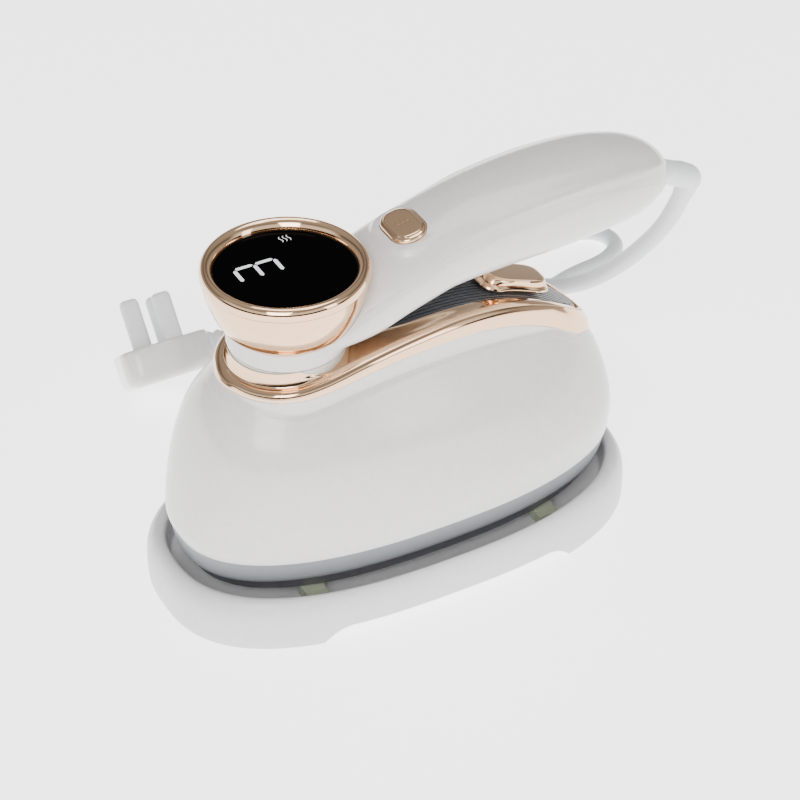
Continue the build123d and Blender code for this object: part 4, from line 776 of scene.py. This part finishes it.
def build_button():
    """Cap with a stem and a small steam sign sunk into its top."""
    length, width, corner = BUTTON_SIZE
    rows = [(rounded_rectangle(length - 2 * inset, width - 2 * inset, corner - inset), z)
            for z, inset in CAP_ROWS]
    cap = pillow("steam_button_cap", BUTTON_PLACE, rows)
    stem = circle(CAP_STEM_RADIUS, CAP_STEM_CORNERS)
    cut(cap, [block("tool", BUTTON_PLACE, stem, CAP_STEM_LOW, CAP_STEM_TOP)], "UNION")
    marks = []
    for wave in range(WAVES):
        left, right = (wave_line(0, 0, wave - 1, CAP_SIGN_PITCH, CAP_SIGN_SWING, CAP_SIGN_HEIGHT,
                                 CAP_SIGN_HALF_WIDTH, side) for side in (-1, 1))
        marks.append(block("tool", BUTTON_PLACE, left[::-1] + right, CAP_SIGN_LOW, CAP_SIGN_TOP))
    cut(cap, marks)
    finish_piece(cap, "button", "gilt", ["steam_button"])


def waisted_outline(length, width, waist):
    """Rounded oblong whose long sides curve in at the middle."""
    points = []
    for step in range(FILLER_POINTS):
        x, y = superellipse(2 * math.pi * step / FILLER_POINTS, FILLER_POWER)
        x *= length / 2
        points.append((x, y * width / 2 * (1 - waist * math.cos(math.pi * x / length) ** 2)))
    return points


def build_filler():
    """Cap with a low flange, a groove and a flat top, on a stem."""
    rows = [(waisted_outline(length, width, waist), z) for z, length, width, waist in FILLER_ROWS]
    cap = pillow("filler_cap", FILLER_PLACE, rows)
    stem = circle(FILLER_STEM_RADIUS, FILLER_STEM_CORNERS)
    cut(cap, [block("tool", FILLER_PLACE, stem, FILLER_STEM_LOW, FILLER_STEM_TOP)], "UNION")
    finish_piece(cap, "filler", "gilt", ["filler_plug"])


# ---------------------------------------------------------------- rest tray, skirt and pads
TRAY_X = -10.0
# Outer wall, rim and well of the tray: half length, half width, power, height
TRAY_PROFILE = [
    (92.4, 50.2, 2.6, 0.0), (93.0, 50.6, 2.6, 0.5), (93.3, 50.7, 2.6, 5.0), (93.3, 50.6, 2.6, 10.0),
    (92.9, 50.2, 2.6, 14.0), (91.9, 49.5, 2.58, 17.0), (90.6, 48.6, 2.56, 18.8), (89.3, 47.6, 2.52, 19.6),
    (88.0, 46.8, 2.48, 19.5), (87.1, 46.2, 2.44, 18.9), (86.6, 45.7, 2.42, 17.8), (86.2, 45.3, 2.4, 15.0),
    (85.4, 44.6, 2.4, 11.0), (84.6, 43.8, 2.4, 10.2), (83.0, 42.2, 2.4, 10.0),
]
TRAY_STEPS, OVAL_POINTS = 44, 160
# Hollow under the floor, as rows of the same kind
TRAY_UNDER = [(90.2, 47.6, 2.6, 7.5), (90.2, 47.6, 2.6, 0.0)]
# Cut-out under each long side, as distance along the tray and height
NOTCH = [(-52.0, -1.0), (-50.0, 1.2), (-47.4, 3.6), (-44.4, 5.4), (-41.0, 6.2), (41.0, 6.2), (44.4, 5.4),
         (47.4, 3.6), (50.0, 1.2), (52.0, -1.0)]
NOTCH_HALF_SPAN = 80.0
FOOT_X, FOOT_Y, FOOT_BOSS_CORNERS = 60.0, 26.0, 40
FOOT_BOSS = [(0, 2.5), (7.5, 2.5), (7.5, 8.0), (0, 8.0)]
SKIRT_X, SKIRT_LENGTH, SKIRT_WIDTH, SKIRT_POWER = -8.65, 87.1, 41.9, 2.4       # half length, half width
# Inset and height down the outside of the skirt and back up its inside
SKIRT_ROWS = [(0.4, 31.0), (0.6, 29.0), (1.1, 26.0), (1.9, 23.0), (2.9, 20.9), (3.5, 20.4), (4.6, 20.4),
              (5.2, 21.5), (5.2, 30.9)]
# Rests: place along the tray and half width of the well there
REST_PLACES = ((-58.0, 33.4), (37.0, 33.5))
# Their two blocks: shift from the half width, width, top
REST_BLOCKS = ((-3.0, 7.0, 15.0), (2.0, 4.0, 14.6))
REST_LENGTH, REST_CORNER, REST_CORNER_POINTS, REST_LOW = 8.0, 0.9, 6, 9.8


def oval(x, half_length, half_width, power, z):
    points = []
    for step in range(OVAL_POINTS):
        across, up = superellipse(2 * math.pi * step / OVAL_POINTS, power)
        points.append((x + across * half_length, up * half_width, z))
    return points


def build_tray():
    rows = TRAY_UNDER + [tuple(row) for row in smooth_curve(TRAY_PROFILE, TRAY_STEPS)]
    shape = skin([oval(TRAY_X, *row) for row in rows])
    tray = make_object("tray_moulding", make_mesh("tray_moulding", shape))
    notch = [[(TRAY_X + x, side, z) for x, z in NOTCH] for side in (-NOTCH_HALF_SPAN, NOTCH_HALF_SPAN)]
    cut(tray, [make_object("tool", make_mesh("tool", skin(notch)))])
    cut(tray, [lathed_tool(FOOT_BOSS, (TRAY_X + x, y), FOOT_BOSS_CORNERS)
               for x in (-FOOT_X, FOOT_X) for y in (-FOOT_Y, FOOT_Y)], "UNION")
    finish_piece(tray, "stand", "tray_plastic", ["stand_tray"], crease=40.0)


def build_skirt():
    """Grey band between the sole and the white body, narrowing downwards."""
    rings = [oval(SKIRT_X, SKIRT_LENGTH - inset, SKIRT_WIDTH - inset, SKIRT_POWER, z)
             for inset, z in SKIRT_ROWS]
    skirt = make_object("grey_skirt", make_mesh("grey_skirt", skin(rings, wrap_rings=True)))
    finish_piece(skirt, "iron", "grey_plastic", ["heat_skirt"], crease=50.0)


def build_pads():
    """Four small rests in the well that the sole sits on, each of two blocks."""
    pads = []
    for x, half_width in REST_PLACES:
        for side in (-1, 1):
            for shift, width, top in REST_BLOCKS:
                place = Matrix.Translation(mm(x, side * (half_width + shift), 0))
                outline = rounded_rectangle(REST_LENGTH, width, REST_CORNER, REST_CORNER_POINTS)
                pads.append(block("pad", place, outline, REST_LOW, top))
    first = cut(pads[0], pads[1:], "UNION")
    finish_piece(first, "stand", "silicone", ["stand_pads"])
    first.name = "rest_pads"


# ---------------------------------------------------------------- plug and moulded cord ends
TUBE_CORNERS = 32
PLUG_CENTRE = mm(-50.7, 109.1, 20.6)
PLUG_PLACE = (Matrix.Translation(PLUG_CENTRE) @ Matrix.Rotation(math.radians(-39.5), 4, "X")
              @ Matrix.Rotation(math.radians(-11.5), 4, "Z"))
PLUG_LENGTH, PLUG_HALF_WIDTH = 36.8, 19.0
PLUG_CORNERS = [(18.4, 8.0), (3.4, 19.0), (-14.4, 19.0), (-18.4, 15.0), (-18.4, -15.0), (-14.4, -19.0),
                (3.4, -19.0), (18.4, -8.0)]
PLUG_CORNER_CUT, PLUG_CORNER_POINTS = 3.4, 7
# Height and inset of the housing's outline
PLUG_ROWS = ((-7.4, 4.6), (-7.3, 3.2), (-6.8, 1.8), (-5.8, 0.8), (-4.2, 0.2), (-2.0, 0.0), (5.6, 0.0),
             (6.5, 0.25), (7.1, 0.8), (7.4, 1.7))
# Place and length of each pin, its section, and its rounded end as distance from the tip and inset
PINS = ((-7.2, 0.0, 19.8), (4.3, -11.1, 18.6), (4.3, 11.1, 18.6))
PIN_LENGTH, PIN_WIDTH, PIN_CORNER, PIN_LEAST_CORNER, PIN_ROOT = 7.6, 5.2, 1.9, 0.4, 7.3
PIN_END = ((2.2, 0.0), (1.2, 0.25), (0.4, 0.8), (0.0, 1.7))
SLEEVE_LENGTH, SLEEVE_STEPS, SLEEVE_ROOT = 21, 105, 1.0
SLEEVE_RADIUS, SLEEVE_TAPER = 6.2, 2.1
GROOVE_DEPTH, GROOVE_PITCH, GROOVE_START, GROOVE_END = 0.45, 3.6, 0.08, 0.9
BOOT_INSIDE, BOOT_BEFORE, BOOT_AFTER = 17, 3.2, 3.0
BOOT_RUN_POINTS, BOOT_BEND_POINTS, BOOT_END_POINTS = 16, 12, 8
BOOT_RADIUS, BOOT_TAPER, BOOT_RING, BOOT_RING_AT = 4.6, 0.75, 0.25, (13, 14)


def rounded_polygon(corners, radius):
    """Outline with each corner replaced by a curve."""
    points = []
    size = len(corners)
    for index in range(size):
        before, here, after = (Vector(corners[(index + shift) % size]) for shift in (-1, 0, 1))
        start = here + (before - here).normalized() * radius
        end = here + (after - here).normalized() * radius
        for step in range(PLUG_CORNER_POINTS):
            part = step / (PLUG_CORNER_POINTS - 1)
            points.append((1 - part) ** 2 * start + 2 * part * (1 - part) * here + part ** 2 * end)
    return points


def build_plug():
    outline = rounded_polygon(PLUG_CORNERS, PLUG_CORNER_CUT)
    rows = []
    for z, inset in PLUG_ROWS:
        scale = 1 - inset / PLUG_HALF_WIDTH
        rows.append(([(x * scale, y * scale) for x, y in outline], z))
    body = pillow("plug_moulding", PLUG_PLACE, rows)
    finish_piece(body, "handle", "white_plastic", ["plug_body"], crease=50.0)
    pins = []
    for x, y, length in PINS:
        rows = []
        for up, inset in ((0.0, 0.0),) + tuple((length - down, inset) for down, inset in PIN_END):
            shape = rounded_rectangle(PIN_LENGTH - 2 * inset, PIN_WIDTH - 2 * inset,
                                      max(PIN_LEAST_CORNER, PIN_CORNER - inset))
            rows.append(([(x + u, y + v) for u, v in shape], PIN_ROOT + up))
        pins.append(pillow("pin", PLUG_PLACE, rows))
    blades = cut(pins[0], pins[1:], "UNION")
    finish_piece(blades, "handle", "white_cord", ["plug_pins"], crease=50.0)
    blades.name = "plug_blades"


def tube_along(points, radii):
    """Rings square to a line of points."""
    rings = []
    side = None
    for index, place in enumerate(points):
        forward = (points[min(index + 1, len(points) - 1)] - points[max(index - 1, 0)]).normalized()
        side = (forward.orthogonal() if side is None else side - forward * side.dot(forward)).normalized()
        other = forward.cross(side)
        rings.append([place + side * x + other * y for x, y in circle(radii[index], TUBE_CORNERS)])
    return skin(rings)


def build_relief():
    """Ribbed taper where the cord leaves the plug."""
    along_plug = (PLUG_PLACE.to_3x3() @ Vector((1, 0, 0))).normalized()
    root = PLUG_PLACE @ (Vector((PLUG_LENGTH / 2 - SLEEVE_ROOT, 0, 0)) * MM)
    points, radii = [], []
    for step in range(SLEEVE_STEPS + 1):
        part = step / SLEEVE_STEPS
        turns = part * SLEEVE_LENGTH / GROOVE_PITCH
        grooved = GROOVE_START < part < GROOVE_END
        groove = GROOVE_DEPTH * (1 + math.cos(turns * 2 * math.pi)) if grooved else 0.0
        points.append(root + along_plug * part * SLEEVE_LENGTH * MM)
        radii.append((SLEEVE_RADIUS - SLEEVE_TAPER * part - groove * (1 - 0.5 * part)) * MM)
    mesh = make_mesh("relief_sleeve", tube_along(points, radii), unit=1.0)
    finish_piece(make_object("relief_sleeve", mesh), "handle", "white_cord", ["plug_relief"])


def build_boot():
    """Straight sleeve out of the handle that ends in a moulded elbow."""
    corner, end = BOOT_CORNER, CORD_EXIT
    inside = BOOT_ROOT - (corner - BOOT_ROOT).normalized() * BOOT_INSIDE * MM
    before = corner + (BOOT_ROOT - corner).normalized() * BOOT_BEFORE * MM
    after = corner + (end - corner).normalized() * BOOT_AFTER * MM
    points = [inside.lerp(before, part) for part in np.linspace(0, 1, BOOT_RUN_POINTS)]
    points += [before.lerp(corner, part).lerp(corner.lerp(after, part), part)
               for part in np.linspace(0, 1, BOOT_BEND_POINTS)[1:]]
    points += [after.lerp(end, part) for part in np.linspace(0, 1, BOOT_END_POINTS)[1:]]
    radii = []
    for index in range(len(points)):
        part = max(0.0, (index - BOOT_RUN_POINTS + 1) / (len(points) - BOOT_RUN_POINTS))
        ring = BOOT_RING if index in BOOT_RING_AT else 0.0
        radii.append((BOOT_RADIUS - BOOT_TAPER * part + ring) * MM)
    mesh = make_mesh("cord_elbow", tube_along(points, radii), unit=1.0)
    finish_piece(make_object("cord_elbow", mesh), "handle", "white_cord", ["cord_boot"])


# ---------------------------------------------------------------- the whole scene
build_camera()
MATERIALS = build_materials()
build_studio()
dress_cad_nodes(MATERIALS)
build_display_head()
build_display_marks()
build_trim()
build_handle()
build_button()
build_filler()
build_tray()
build_pads()
build_skirt()
build_plug()
build_relief()
build_boot()
cord = build_cord(MATERIALS)
